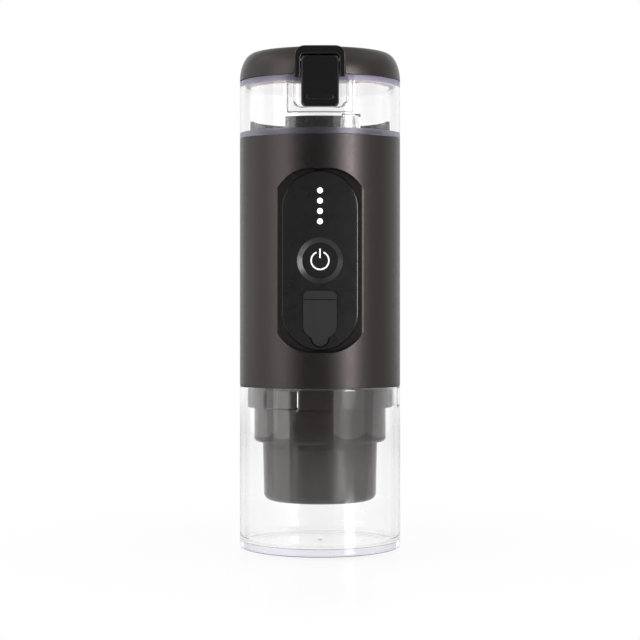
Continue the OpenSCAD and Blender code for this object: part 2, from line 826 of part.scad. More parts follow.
module control_panel() {
    color(gloss_black)
        difference() {
            union() {
                translate([0, y_panel_back, z_panel])
                    slot_block(panel_w, panel_h, panel_t - panel_bevel);
                translate([0, y_panel + panel_bevel, z_panel])
                    slot_block(panel_w, panel_h, panel_bevel, -panel_bevel);
            }
            for (i = [0:light_count - 1])
                rod_y(light_d + 2 * fit_gap, 0, y_panel - cut, z_panel_top - light_drop - i * light_pitch,
                    panel_t + 2 * cut);
            rod_y(hole_d, 0, y_panel - cut, z_panel, panel_t + 2 * cut);
            translate([0, y_panel, z_panel])
                rotate([-90, 0, 0])
                    cylinder(d1 = dish_d, d2 = hole_d, h = dish_depth);
            stand(y_flap_floor, flap_t + fit_gap + cut)
                polygon(flap_outline(z_crease + bite, flap_gap));
            stand(y_flap_floor, flap_t + fit_gap + cut)
                polygon(arch(flap_w + 2 * flap_gap, z_crease, z_crease + strip_h + flap_gap,
                    strip_corner + flap_gap));
            rod_y(tongue_w + 2 * notch_w, 0, y_panel - cut, z_tongue, notch_depth + cut);
            rod_y(peg_d + 2 * fit_gap, 0, y_panel - cut, z_crease + strip_h / 2, panel_t + 2 * cut);
            translate([0, y_panel_back + cut, z_socket])
                rotate([0, 90, 0])
                    slot_block(socket_h + 2 * socket_gap, socket_w + 2 * socket_gap, panel_t + cut);
        }
}

module level_lights() {
    color(lit)
        for (i = [0:light_count - 1])
            rod_y(light_d, 0, y_panel, z_panel_top - light_drop - i * light_pitch,
                y_board - light_gap - y_panel);
}

// Power symbol, grown by g, from y_front back by t
module symbol(y_front, t, g) {
    translate([0, y_front + t, z_panel])
        rotate([90, 0, 0])
            rotate([0, 0, 90 + symbol_open / 2])
                rotate_extrude(angle = 360 - symbol_open)
                    translate([symbol_d / 2 - symbol_stroke - g, 0])
                        square([symbol_stroke + 2 * g, t]);
    translate([-symbol_stroke / 2 - g, y_front, z_panel + symbol_bar_foot - g])
        cube([symbol_stroke + 2 * g, t, symbol_bar_h + 2 * g]);
}

module power_button() {
    color(gloss_black)
        difference() {
            union() {
                rod_y(button_d, 0, y_button, z_panel, y_flange - y_button + button_flange_t);
                rod_y(button_d + 2 * button_flange + 2 * button_gap, 0, y_flange, z_panel,
                    button_flange_t);
            }
            rod_y(button_d - 2 * button_flange, 0, y_button_back, z_panel,
                y_flange - y_button_back + button_flange_t + cut);
            symbol(y_button - cut, symbol_t + cut, 0);
        }
    color(gloss_black)
        rod_y(button_stub_d, 0, y_button_back - bite, z_panel, button_stub_h + bite);
}

module power_symbol() {
    color(lit)
        symbol(y_button, symbol_t, 0);
}

module button_switch() {
    y_case = y_board - switch_h;
    y_plunger = y_stub + button_travel + press_stop;
    color(satin_black)
        union() {
            translate([-switch_w / 2, y_case, z_panel - switch_w / 2])
                cube([switch_w, switch_h, switch_w]);
            rod_y(plunger_d, 0, y_plunger, z_panel, y_case - y_plunger + bite);
        }
}

module control_board() {
    color("darkgreen")
        translate([-window_w / 2 - board_margin, y_board, z_panel - window_h / 2 - board_margin])
            cube([window_w + 2 * board_margin, board_t, window_h + 2 * board_margin]);
}

module charging_socket() {
    depth = y_board - y_socket;
    color(steel)
        union() {
            difference() {
                translate([0, y_board, z_socket])
                    rotate([0, 90, 0])
                        slot_block(socket_h, socket_w, depth);
                translate([0, y_socket + socket_mouth, z_socket])
                    rotate([0, 90, 0])
                        slot_block(socket_h - 2 * socket_wall, socket_w - 2 * socket_wall,
                            socket_mouth + cut);
            }
            translate([-contact_w / 2, y_socket + socket_mouth - contact_l, z_socket - contact_t / 2])
                cube([contact_w, contact_l + bite, contact_t]);
        }
}

module socket_flap() {
    color(rubber_grey)
        stand(y_flap_back, flap_t)
            polygon(flap_outline(z_crease - seat_gap, 0));
}

module socket_strip() {
    color(rubber_grey)
        union() {
            stand(y_flap_back, flap_t)
                polygon(arch(flap_w, z_crease + seat_gap / 2, z_crease + strip_h, strip_corner));
            rod_y(peg_d, 0, y_flap_back - bite, z_crease + strip_h / 2,
                y_panel_back - y_flap_back + bite);
        }
}

// Ears that carry the hinge pin, one each side of the lid's knuckles
module tank_ears() {
    for (side = [-1, 1]) {
        rod_x(hinge_d, ear_w, side * ear_x, y_hinge, z_hinge);
        translate([side * ear_x - ear_w / 2, y_hinge - hinge_d / 2, z_rim - ear_h])
            cube([ear_w, hinge_d * 3 / 4, ear_h + hinge_rise]);
    }
}

module water_tank() {
    house_w = pocket_w + 2 * tank_wall;
    color(clear, clear_alpha)
        difference() {
            union() {
                rotate_extrude()
                    polygon([
                        [body_r - flange_w, z_deck], [body_r, z_deck], [body_r, z_rim],
                        [tank_in, z_rim], [tank_in, z_deck + flange_h],
                        [body_r - flange_w, z_deck + flange_h]
                    ]);
                intersection() {
                    cylinder(r = tank_in + bite, h = z_rim);
                    translate([-house_w / 2, -body_r, z_ledge - ledge_t])
                        cube([house_w, body_r + y_pocket + tank_wall, z_rim - z_ledge + ledge_t]);
                }
                ring_part(collar_r + 2 * collar_gap, tank_in + bite, z_deck + flange_h / 2, z_deck + stop_h,
                    stop_angle, stop_at_angle - 90);
                tank_ears();
            }
            difference() {
                translate([-pocket_w / 2, -body_r - cut, z_ledge])
                    cube([pocket_w, body_r + cut + y_pocket, tank_h]);
                translate([-catch_w / 2, y_pocket - catch_t, z_ledge + catch_rise])
                    cube([catch_w, catch_t + cut, catch_h]);
            }
            translate([-knuckle_end - hinge_side_gap, y_hinge - hinge_d / 2 - hinge_room,
                z_hinge - hinge_d / 2 - hinge_room])
                cube([2 * (knuckle_end + hinge_side_gap), hinge_d * 2, hinge_d * 2]);
            rod_x(hinge_pin_d + 2 * run_gap, 2 * hinge_half + cut, 0, y_hinge, z_hinge);
        }
}

module tank_collar() {
    gap_at = tab_angle / 2 + tab_gap_angle / 2;
    color(satin_black)
        difference() {
            rotate_extrude()
                translate([collar_r - collar_t, z_deck])
                    square([collar_t, collar_h]);
            for (side = [-1, 1])
                ring_part(collar_r - collar_t - cut, collar_r + cut, z_deck + collar_foot,
                    z_deck + collar_h + cut, tab_gap_angle, side * gap_at - 90);
            ring_part(collar_r - collar_t - cut, collar_r + cut, z_deck + collar_foot,
                z_deck + collar_h + cut, back_gap_angle, 90);
            ring_part(collar_r - tab_groove, collar_r + cut, z_deck + tab_groove_rise,
                z_deck + tab_groove_rise + tab_groove_h, tab_groove_angle, -90);
        }
}

module tank_seal() {
    seal_r = body_r - flange_w + fit_gap;
    color("#8b6a6a")
        rotate_extrude()
            translate([seal_r, z_deck - seal_t])
                square([seal_w, seal_t]);
}

module top_deck() {
    seal_r = body_r - flange_w + fit_gap;
    color(satin_black)
        difference() {
            union() {
                translate([0, 0, z_deck_low])
                    cylinder(r = core_r, h = deck_t);
                translate([outlet[0], outlet[1], z_deck_low - barb_h])
                    cylinder(d = hose_bore - 2 * run_gap, h = barb_h + bite);
            }
            translate([0, 0, z_deck - element_h])
                cylinder(r = pocket_r, h = element_h + cut);
            rotate_extrude()
                translate([seal_r, z_deck - seal_t])
                    square([seal_w, seal_t + cut]);
            translate([outlet[0], outlet[1], z_deck_low - barb_h - cut])
                cylinder(d = hose_bore / 2, h = barb_h + deck_t + 2 * cut);
            screw_holes(z_deck_low - cut, screw_d + 2 * fit_gap, screw_l - chassis_t + 2 * cut);
        }
}

module heater_plate() {
    color(steel)
        difference() {
            translate([0, 0, z_deck])
                cylinder(r = heater_r, h = heater_t);
            translate([outlet[0], outlet[1], z_deck - cut])
                cylinder(d = hose_bore / 2, h = heater_t + 2 * cut);
        }
}

module heating_element() {
    color("#8d8780")
        rotate_extrude()
            translate([(element_d - element_w) / 2, z_deck - element_h])
                square([element_w, element_h]);
}

module temperature_sensor() {
    color("#6f6a55")
        translate([0, 0, z_deck - sensor_h])
            cylinder(d = sensor_d, h = sensor_h);
}

module lid_shell() {
    a = lid_edge - lid_wall;
    b = lid_h - lid_wall;
    shoulder = body_r - lid_edge;
    color(paint)
        difference() {
            rotate_extrude()
                polygon(concat(
                    quarter_ellipse(shoulder, z_lid, lid_edge, lid_h),
                    [[0, z_top], [0, z_top - lid_wall]],
                    [for (p = quarter_ellipse(0, 0, a, b)) [shoulder + p[1] / b * a, z_lid + p[0] / a * b]]
                ));
            stand(y_lid_front, body_r + y_lid_front + cut)
                polygon(arch(bezel_w + 2 * fit_gap, z_bezel - cut, z_bezel_top + fit_gap,
                    bezel_corner + fit_gap));
            translate([-hinge_half - hinge_room, 0, z_lid - cut])
                cube([2 * (hinge_half + hinge_room), body_r + cut, z_hinge + hinge_cut - z_lid + cut]);
        }
}

module lid_plate() {
    color(pale)
        union() {
            difference() {
                d_disc(plate_r, y_lid_front, z_lid, z_lid + plate_t);
                translate([-hinge_half - hinge_room, y_leaf, z_lid - cut])
                    cube([2 * (hinge_half + hinge_room), body_r, plate_t + 2 * cut]);
            }
            d_disc(plug_r, y_plug, z_lid - plug_h, z_lid + bite);
        }
}

// Strip on the lid's plate, with an arm down to each knuckle
module hinge_leaf() {
    z_leaf = z_lid + plate_t;
    arm = [
        [y_leaf - bite, z_leaf], [y_leaf - bite, z_leaf + leaf_t], [y_hinge, z_hinge + hinge_d / 2],
        [y_hinge, z_hinge], [y_hinge - hinge_d / 2, z_hinge], [y_leaf + seat_gap, z_leaf]
    ];
    color(satin_black)
        difference() {
            union() {
                translate([-knuckle_end, y_leaf - leaf_l, z_leaf])
                    cube([2 * knuckle_end, leaf_l, leaf_t]);
                for (side = [-1, 1]) {
                    rod_x(hinge_d, knuckle_w, side * knuckle_x, y_hinge, z_hinge);
                    translate([side * knuckle_x - knuckle_w / 2, 0, 0])
                        rotate([90, 0, 90])
                            linear_extrude(knuckle_w)
                                polygon(arm);
                }
            }
            rod_x(hinge_pin_d + 2 * run_gap, 2 * hinge_half + cut, 0, y_hinge, z_hinge);
        }
}

module lid_seal() {
    low = z_lid - plug_h + seal_rise;
    color("#b9b4b0")
        difference() {
            d_disc(tank_in - seal_gap, y_seal, low, low + seal_h);
            d_disc(plug_r, y_plug, low - cut, low + seal_h + cut);
        }
}

module lid_hinge_pin() {
    color(steel)
        rod_x(hinge_pin_d, 2 * hinge_half, 0, y_hinge, z_hinge);
}

module latch_bezel() {
    color(gloss_black)
        difference() {
            stand(y_bezel + bezel_depth, bezel_depth)
                polygon(arch(bezel_w, z_bezel, z_bezel_top, bezel_corner));
            stand(y_bezel + bezel_depth + cut, bezel_depth + 2 * cut)
                polygon(arch(latch_slot_w, z_bezel - cut, z_latch_top + latch_head_gap,
                    latch_corner + latch_gap));
            rod_x(latch_pin_d + 2 * run_gap, latch_slot_w + 2 * (latch_pin_grip + run_gap), 0,
                y_latch_pin, z_latch_pin);
        }
}

// The flap's face is bevelled on all four sides: its outline, its side view and its top view meet
module latch_flap() {
    side_view = [
        [y_latch + latch_bevel, z_latch], [y_latch + latch_t, z_latch],
        [y_latch + latch_t, z_latch_top], [y_latch + latch_bevel, z_latch_top],
        [y_latch, z_latch_top - latch_bevel], [y_latch, z_latch + latch_bevel]
    ];
    top_view = [
        [-latch_w / 2, y_latch + latch_t], [-latch_w / 2, y_latch + latch_bevel],
        [latch_bevel - latch_w / 2, y_latch], [latch_w / 2 - latch_bevel, y_latch],
        [latch_w / 2, y_latch + latch_bevel], [latch_w / 2, y_latch + latch_t]
    ];
    color(gloss_black)
        difference() {
            union() {
                intersection() {
                    stand(y_latch + latch_t + cut, latch_t + 2 * cut)
                        polygon(rounded(latch_w, z_latch, z_latch_top, latch_corner));
                    translate([-latch_w, 0, 0])
                        rotate([90, 0, 90])
                            linear_extrude(2 * latch_w)
                                polygon(side_view);
                    translate([0, 0, z_latch - cut])
                        linear_extrude(z_latch_top - z_latch + 2 * cut)
                            polygon(top_view);
                }
                rod_x(latch_knuckle_d, latch_w - 2 * latch_bevel, 0, y_latch_pin, z_latch_pin);
                translate([0, y_latch + bite, z_latch + bar_rise])
                    rotate([0, 90, 0])
                        slot_block(bar_h, bar_w, bar_t + bite);
                translate([-catch_w / 2, y_latch + latch_t - bite, z_latch + latch_corner / 2])
                    cube([catch_w, detent_t + bite, detent_h]);
            }
            rod_x(latch_pin_d + 2 * run_gap, latch_w + cut, 0, y_latch_pin, z_latch_pin);
        }
}

module latch_pin() {
    color(steel)
        rod_x(latch_pin_d, latch_slot_w + 2 * latch_pin_grip, 0, y_latch_pin, z_latch_pin);
}

module chassis() {
    color("#55585a")
        difference() {
            union() {
                for (z = [z_head_top, z_ceiling])
                    translate([0, 0, z])
                        cylinder(r = core_r, h = chassis_t);
                for (a = post_angles)
                    rotate([0, 0, a])
                        translate([post_ring_r, 0, z_floor - bite])
                            cylinder(d = post_d, h = z_ceiling - z_floor + 2 * bite);
            }
            translate([pump[0], pump[1], z_head_top - cut])
                cylinder(d = nipple_d + 2 * screw_gap, h = chassis_t + 2 * cut);
            translate([outlet[0], outlet[1], z_ceiling - cut])
                cylinder(d = hose_d + 2 * screw_gap, h = chassis_t + 2 * cut);
            for (z = [z_head_top, z_ceiling])
                screw_holes(z - cut, screw_d + 2 * screw_gap, chassis_t + 2 * cut);
        }
}

module chassis_screws() {
    color(steel) {
        for (a = screw_angles)
            rotate([0, 0, a])
                translate([screw_ring_r, 0, 0]) {
                    translate([0, 0, z_floor])
                        cylinder(d = screw_head_d, h = screw_head_h);
                    translate([0, 0, z_floor - screw_l])
                        cylinder(d = screw_d, h = screw_l + bite);
                    translate([0, 0, z_ceiling - screw_head_h])
                        cylinder(d = screw_head_d, h = screw_head_h);
                    translate([0, 0, z_ceiling - bite])
                        cylinder(d = screw_d, h = screw_l + bite);
                }
    }
}

module cell_holder() {
    color("#8a8d90")
        difference() {
            union() {
                for (a = cell_angles)
                    rotate([0, 0, a])
                        translate([cell_ring_r, 0, z_floor])
                            cylinder(d = cup_d, h = tray_h);
                ring_part(cell_ring_r - web_w / 2, cell_ring_r + web_w / 2, z_floor, z_floor + tray_h,
                    2 * cell_spread, 90);
            }
            for (a = cell_angles)
                rotate([0, 0, a])
                    translate([cell_ring_r, 0, z_floor + tray_floor])
                        cylinder(d = cell_d + 2 * cell_gap, h = tray_h);
        }
}

module battery_cells() {
    z = z_floor + tray_floor;
    color("#3f6f9a")
        for (a = cell_angles)
            rotate([0, 0, a])
                translate([cell_ring_r, 0, z]) {
                    cylinder(d = cell_d, h = cell_h);
                    cylinder(d = cell_cap_d, h = cell_h + cell_cap_h);
                }
}

module pump_head() {
    reach = norm(outlet - pump);
    turn = atan2(outlet[1] - pump[1], outlet[0] - pump[0]);
    color("#6a6d70")
        union() {
            translate([pump[0], pump[1], z_floor]) {
                cylinder(d = pump_d, h = pump_h);
                translate([0, 0, -chassis_t - nipple_h])
                    cylinder(d = nipple_d, h = chassis_t + nipple_h + bite);
                translate([0, 0, inlet_rise])
                    rotate([0, 90, turn])
                        cylinder(d = hose_d - bite, h = reach);
            }
            translate([outlet[0], outlet[1], z_inlet - hose_d / 2]) {
                cylinder(d = hose_d, h = hose_d);
                cylinder(d = hose_bore - 2 * run_gap, h = hose_d + barb_h);
            }
        }
}

module pump_motor() {
    color("#a3a6a8")
        translate([pump[0], pump[1], z_floor + pump_h]) {
            cylinder(d = motor_d, h = motor_h);
            cylinder(d = bush_d, h = motor_h + bush_h);
        }
}

module inlet_hose() {
    color("#d8d5cf")
        translate([outlet[0], outlet[1], z_hose])
            difference() {
                cylinder(d = hose_d, h = z_deck_low - z_hose);
                translate([0, 0, -cut])
                    cylinder(d = hose_bore, h = z_deck_low - z_hose + 2 * cut);
            }
}

module brew_head() {
    color(dark_gloss)
        difference() {
            rotate_extrude()
                polygon([
                    [0, z_press], [press_d / 2, z_press], [press_d / 2, z_head_cavity],
                    [groove_r, z_head_cavity], [groove_r, z_groove], [lip_r, z_groove],
                    [lip_r, z_spigot], [spigot_r, z_spigot], [spigot_r, z_sleeve],
                    [core_r, z_sleeve], [core_r, z_head_top], [0, z_head_top]
                ]);
            for (i = [0:lug_count - 1])
                ring_part(lip_r - cut, groove_r - twist_gap / 2, z_spigot - cut, z_groove + cut,
                    lug_angle + entry_extra, 90 + i * 360 / lug_count + twist_angle);
            rotate_extrude()
                translate([gasket_r - gasket_w, z_press - cut])
                    square([gasket_w, gasket_sunk + cut]);
            translate([pump[0], pump[1], z_head_top - nipple_h])
                cylinder(d = nipple_d + 2 * fit_gap, h = nipple_h + cut);
            translate([pump[0], pump[1], z_press - cut])
                cylinder(d = water_way_d, h = z_head_top - z_press);
            screw_holes(z_floor - screw_l - cut, screw_d + 2 * fit_gap, screw_l + cut);
        }
}

module brew_gasket() {
    color("#b3543f")
        rotate_extrude()
            translate([gasket_r - gasket_w, z_gasket])
                square([gasket_w, gasket_t]);
}

module shower_plate() {
    color(steel)
        difference() {
            union() {
                translate([0, 0, z_press - shower_t])
                    cylinder(r = shower_r, h = shower_t);
                translate([0, 0, z_press - shower_t - needle_h])
                    cylinder(d1 = needle_d / 4, d2 = needle_d, h = needle_h + bite);
            }
            for (i = [0:shower_holes - 1])
                rotate([0, 0, i * 360 / shower_holes])
                    translate([shower_ring_r, 0, z_press - shower_t - cut])
                        cylinder(d = shower_hole_d, h = shower_t + 2 * cut);
        }
}

module bayonet_ring() {
    bore = chamber_r + chamber_gap;
    seam = z_ring + ring_seam_rise;
    z_shoulder = z_chamber_top + chamber_gap;
    color(dark_gloss)
        union() {
            rotate_extrude()
                polygon(concat(
                    [[bore, z_ring]],
                    arc(ring_r - ring_edge, z_ring + ring_edge, ring_edge, -90, 0),
                    [[ring_r, seam], [ring_r - ring_seam, seam],
                    [ring_r - ring_seam, seam + ring_seam], [ring_r, seam + ring_seam],
                    [ring_r, z_ring_top], [neck_r, z_ring_top], [neck_r, z_neck_top],
                    [neck_in, z_neck_top], [neck_in, z_shoulder], [bore, z_shoulder]]
                ));
            for (i = [0:lug_count - 1])
                ring_part(neck_r - neck_wall / 2, groove_r - twist_gap, z_groove + twist_gap, z_neck_top,
                    lug_angle, 90 + i * 360 / lug_count);
        }
}

module capsule_chamber() {
    low_r = chamber_r - chamber_taper;
    color(dark_gloss)
        difference() {
            rotate_extrude()
                polygon(concat(
                    [[0, z_chamber]],
                    arc(low_r - chamber_edge, z_chamber + chamber_edge, chamber_edge, -90, 0),
                    [[chamber_r, z_ring], [chamber_r, z_chamber_top],
                    [chamber_r - chamber_wall, z_chamber_top],
                    [low_r - chamber_wall, z_chamber + chamber_edge]],
                    arc(low_r - chamber_edge, z_chamber + chamber_edge, chamber_edge - chamber_wall, 0, -90),
                    [[0, z_chamber + chamber_floor]]
                ));
            translate([0, 0, z_chamber - cut])
                cylinder(d = spout_d, h = chamber_floor + 2 * cut);
        }
}

module capsule_basket() {
    color(satin_black)
        rotate_extrude()
            polygon([
                [basket_floor_r - grid_ledge, z_basket],
                [basket_floor_r + basket_wall, z_basket],
                [basket_r, z_chamber_top], [neck_in - chamber_gap, z_chamber_top],
                [neck_in - chamber_gap, z_chamber_top + basket_flange],
                [capsule_d / 2, z_chamber_top + basket_flange],
                [basket_floor_r, z_basket + basket_floor],
                [basket_floor_r - grid_ledge, z_basket + basket_floor]
            ]);
}

module outlet_grid() {
    r = basket_floor_r - fit_gap;
    reach = r - grid_hole_d - grid_ledge;
    steps = floor(reach / grid_pitch);
    color(steel)
        difference() {
            translate([0, 0, z_basket + basket_floor])
                cylinder(r = r, h = grid_t);
            for (i = [-steps:steps], j = [-steps:steps])
                if (norm([i, j]) * grid_pitch <= reach)
                    translate([i * grid_pitch, j * grid_pitch, z_basket + basket_floor - cut])
                        cylinder(d = grid_hole_d, h = grid_t + 2 * cut);
        }
}

cup();
body_sleeve();
control_panel();
level_lights();
power_button();
power_symbol();
button_switch();
control_board();
charging_socket();
socket_flap();
socket_strip();
water_tank();
tank_collar();
tank_seal();
top_deck();
heater_plate();
heating_element();
temperature_sensor();
lid_shell();
lid_plate();
hinge_leaf();
lid_seal();
lid_hinge_pin();
latch_bezel();
latch_flap();
latch_pin();
chassis();
chassis_screws();
cell_holder();
battery_cells();
pump_head();
pump_motor();
inlet_hose();
brew_head();
brew_gasket();
shower_plate();
bayonet_ring();
capsule_chamber();
capsule_basket();
outlet_grid();
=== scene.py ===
"""Portable espresso maker: shells, finishes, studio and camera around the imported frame."""
import json

import bmesh
import bpy
import numpy as np
from bpy.props import FloatProperty, FloatVectorProperty, PointerProperty
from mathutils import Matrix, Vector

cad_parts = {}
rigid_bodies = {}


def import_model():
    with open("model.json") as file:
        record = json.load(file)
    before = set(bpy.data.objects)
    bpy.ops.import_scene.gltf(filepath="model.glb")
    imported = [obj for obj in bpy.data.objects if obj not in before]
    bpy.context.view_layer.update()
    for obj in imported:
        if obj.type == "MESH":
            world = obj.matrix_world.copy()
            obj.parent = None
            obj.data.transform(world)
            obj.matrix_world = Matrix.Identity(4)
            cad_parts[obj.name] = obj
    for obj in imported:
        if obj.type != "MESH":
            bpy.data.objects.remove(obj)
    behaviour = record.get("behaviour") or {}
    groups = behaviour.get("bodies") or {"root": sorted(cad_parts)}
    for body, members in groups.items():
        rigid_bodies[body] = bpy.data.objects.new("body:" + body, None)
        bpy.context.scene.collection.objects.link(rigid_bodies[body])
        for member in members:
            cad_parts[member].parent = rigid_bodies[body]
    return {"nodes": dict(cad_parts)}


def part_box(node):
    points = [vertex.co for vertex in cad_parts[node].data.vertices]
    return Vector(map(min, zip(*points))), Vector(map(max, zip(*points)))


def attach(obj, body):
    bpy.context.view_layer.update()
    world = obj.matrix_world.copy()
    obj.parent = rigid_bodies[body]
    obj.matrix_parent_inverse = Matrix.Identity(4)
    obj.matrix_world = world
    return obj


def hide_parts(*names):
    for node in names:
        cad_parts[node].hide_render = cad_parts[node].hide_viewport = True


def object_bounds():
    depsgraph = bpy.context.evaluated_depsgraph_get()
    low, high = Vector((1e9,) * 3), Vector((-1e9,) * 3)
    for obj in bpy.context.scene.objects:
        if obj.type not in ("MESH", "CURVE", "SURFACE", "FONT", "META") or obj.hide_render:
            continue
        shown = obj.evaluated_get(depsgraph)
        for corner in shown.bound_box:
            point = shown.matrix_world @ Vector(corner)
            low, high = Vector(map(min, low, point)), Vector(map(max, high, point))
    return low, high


bl_info = {
    "name": "Portable Espresso Maker",
    "version": (1, 0, 0),
    "blender": (4, 5, 0),
    "location": "View3D > Sidebar > Espresso Maker",
    "description": "Shells, finishes and studio of a portable espresso maker",
    "category": "Add Mesh",
}

MM = 0.001

for leftover in list(bpy.data.objects):
    bpy.data.objects.remove(leftover)
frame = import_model()
cad_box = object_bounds()


def linear(code):
    """Linear red, green and blue of an sRGB hex colour."""
    value = np.array([int(code[i:i + 2], 16) for i in (1, 3, 5)]) / 255
    return tuple(np.where(value <= 0.04045, value / 12.92, ((value + 0.055) / 1.055) ** 2.4))


def per_metre(millimetres):
    """Texture scale at which one feature measures that many millimetres."""
    return 1 / (millimetres * MM)


def extent(node):
    """Lowest and highest corner of a CAD node, in millimetres."""
    low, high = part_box(node)
    return np.array(low) / MM, np.array(high) / MM


# Settings


class ShapeSettings(bpy.types.PropertyGroup):
    """Sizes of the shells that stand in for CAD nodes."""

    sleeve_wall: FloatProperty(
        name="Sleeve wall", description="Thickness of the body sleeve", default=1.6 * MM, unit="LENGTH")
    flat_margin: FloatProperty(
        name="Flat margin", description="Flat left bare above and below the control panel",
        default=0.2 * MM, unit="LENGTH")
    flat_half: FloatProperty(
        name="Flat half width", description="Half the width of the flat's outline",
        default=21 * MM, unit="LENGTH")
    flat_corner: FloatProperty(
        name="Flat corner", description="Corner radius of the flat's outline",
        default=17 * MM, unit="LENGTH")
    flat_inset: FloatProperty(
        name="Flat inset", description="Depth of the flat below the round front",
        default=5 * MM, unit="LENGTH")
    edge_blend: FloatProperty(
        name="Edge blend", description="Softness of the line where the flat meets the round body",
        default=0.5 * MM, unit="LENGTH")
    panel_fit: FloatProperty(
        name="Panel fit", description="Gap round the control panel", default=0.12 * MM, unit="LENGTH")
    lid_edge: FloatProperty(
        name="Lid edge", description="Width of the lid's rounded edge", default=6.5 * MM, unit="LENGTH")
    lid_wall: FloatProperty(
        name="Lid wall", description="Thickness of the lid shell", default=1.8 * MM, unit="LENGTH")
    rim_bevel: FloatProperty(
        name="Rim bevel", description="Rounding of the painted shells' rims",
        default=0.35 * MM, unit="LENGTH")
    cup_wall: FloatProperty(
        name="Cup wall", description="Thickness of the cup's wall", default=2.2 * MM, unit="LENGTH")
    cup_floor: FloatProperty(
        name="Cup floor", description="Height of the cup's floor inside", default=3 * MM, unit="LENGTH")
    tank_wall: FloatProperty(
        name="Tank wall", description="Thickness of the tank's wall", default=2.2 * MM, unit="LENGTH")
    tank_rounding: FloatProperty(
        name="Tank rounding", description="Rounding of the latch pocket's edges",
        default=0.9 * MM, unit="LENGTH")
    haze_band: FloatProperty(
        name="Haze band", description="Height of the hazy band under the tank's rim",
        default=2.4 * MM, unit="LENGTH")
    latch_bevel: FloatProperty(
        name="Latch bevel", description="Chamfer of the latch flap's front",
        default=0.6 * MM, unit="LENGTH")


class FinishSettings(bpy.types.PropertyGroup):
    """Colours of the finishes."""

    paint: FloatVectorProperty(
        name="Paint", description="Satin paint of body and lid",
        default=linear("#454141"), subtype="COLOR")
    gloss: FloatVectorProperty(
        name="Polished black", description="Panel, bezel and latch flap",
        default=linear("#171617"), subtype="COLOR")
    moulded: FloatVectorProperty(
        name="Moulded black", description="Collar, deck and chassis",
        default=linear("#1c1a1b"), subtype="COLOR")
    brew: FloatVectorProperty(
        name="Brew group", description="Spigot, bayonet ring and capsule chamber",
        default=linear("#1e1917"), subtype="COLOR")
    clear: FloatVectorProperty(
        name="Clear plastic", description="Tint of cup and tank in thick places",
        default=linear("#dcd9ee"), subtype="COLOR")
    haze: FloatVectorProperty(
        name="Hazy plastic", description="Weld bands of the tank",
        default=linear("#c3c1d8"), subtype="COLOR")
    rubber: FloatVectorProperty(
        name="Flap rubber", description="Socket flap and its strip",
        default=linear("#181717"), subtype="COLOR")


class StudioSettings(bpy.types.PropertyGroup):
    """Camera and light."""

    camera_back: FloatProperty(
        name="Camera distance", description="From the axis to the camera", default=0.817, unit="LENGTH")
    camera_height: FloatProperty(
        name="Camera height", description="Above the floor", default=0.1168, unit="LENGTH")
    lens: FloatProperty(
        name="Focal length", description="Of the camera", default=103.6, subtype="DISTANCE_CAMERA")
    light_back: FloatProperty(
        name="Light distance", description="From the axis to the softboxes",
        default=0.62, unit="LENGTH")


# Meshes


def grid_faces(rows, columns, wrap=False):
    """Quads between neighbouring rows and columns of a grid that is numbered row by row.

    wrap joins the last column to the first.
    """
    column = np.arange(columns if wrap else columns - 1)
    right = (column + 1) % columns
    low = np.arange(rows - 1)[:, None] * columns
    high = low + columns
    return np.stack([low + column, low + right, high + right, high + column], axis=-1).reshape(-1, 4)


def join(*parts):
    """Several (points, faces) pairs as one pair."""
    counts = np.cumsum([0] + [len(points) for points, _ in parts])
    return (np.concatenate([points for points, _ in parts]),
            np.concatenate([faces + start for (_, faces), start in zip(parts, counts)]))


def put_piece(name, surface, material, body, nodes, closed=True, crease=40):
    """One object at the origin from points in millimetres, with its doubles merged, riding on a body."""
    points, faces = surface
    mesh = bpy.data.meshes.new(name)
    mesh.from_pydata((points * MM).tolist(), [], faces.tolist())
    work = bmesh.new()
    work.from_mesh(mesh)
    bmesh.ops.remove_doubles(work, verts=work.verts, dist=1e-7)
    bmesh.ops.dissolve_degenerate(work, edges=work.edges, dist=1e-8)
    if closed:
        bmesh.ops.recalc_face_normals(work, faces=work.faces)
    work.to_mesh(mesh)
    work.free()
    mesh.shade_smooth()
    mesh.set_sharp_from_angle(angle=np.radians(crease))
    mesh.materials.append(material)
    piece = bpy.data.objects.new(name, mesh)
    bpy.context.scene.collection.objects.link(piece)
    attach(piece, body)
    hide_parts(*nodes)
    return piece


def thicken(piece, wall, bevel):
    """Gives an open shell its wall, inwards, and rounds the rims."""
    solid = piece.modifiers.new("wall", "SOLIDIFY")
    solid.thickness = wall
    solid.offset = -1
    solid.use_even_offset = True
    rim = piece.modifiers.new("rims", "BEVEL")
    rim.width = bevel
    rim.segments = 3
    rim.limit_method = "ANGLE"
    rim.angle_limit = np.radians(50)


def soften(corners, cut, steps=6):
    """Closed outline with its corners rounded.

    Each corner becomes a quadratic curve that leaves the edges at the distance cut from it.
    """
    corners = np.asarray(corners, float)
    before = np.roll(corners, 1, axis=0) - corners
    after = np.roll(corners, -1, axis=0) - corners
    cut = np.broadcast_to(cut, len(corners))[:, None]
    start = corners + cut * before / np.linalg.norm(before, axis=1, keepdims=True)
    end = corners + cut * after / np.linalg.norm(after, axis=1, keepdims=True)
    t = np.linspace(0, 1, steps + 1)[None, :, None]
    curve = (1 - t) ** 2 * start[:, None] + 2 * t * (1 - t) * corners[:, None] + t ** 2 * end[:, None]
    return curve.reshape(-1, 2)


def smooth_max(a, b, width):
    """The larger of a and b, rounded by a cubic where they come within width of each other."""
    near = np.maximum(width - np.abs(a - b), 0) / width
    return np.maximum(a, b) + near ** 3 * width / 6


def ease(low, high, value):
    """Smooth step from 0 at low to 1 at high."""
    t = np.clip((value - low) / (high - low), 0, 1)
    return t * t * (3 - 2 * t)


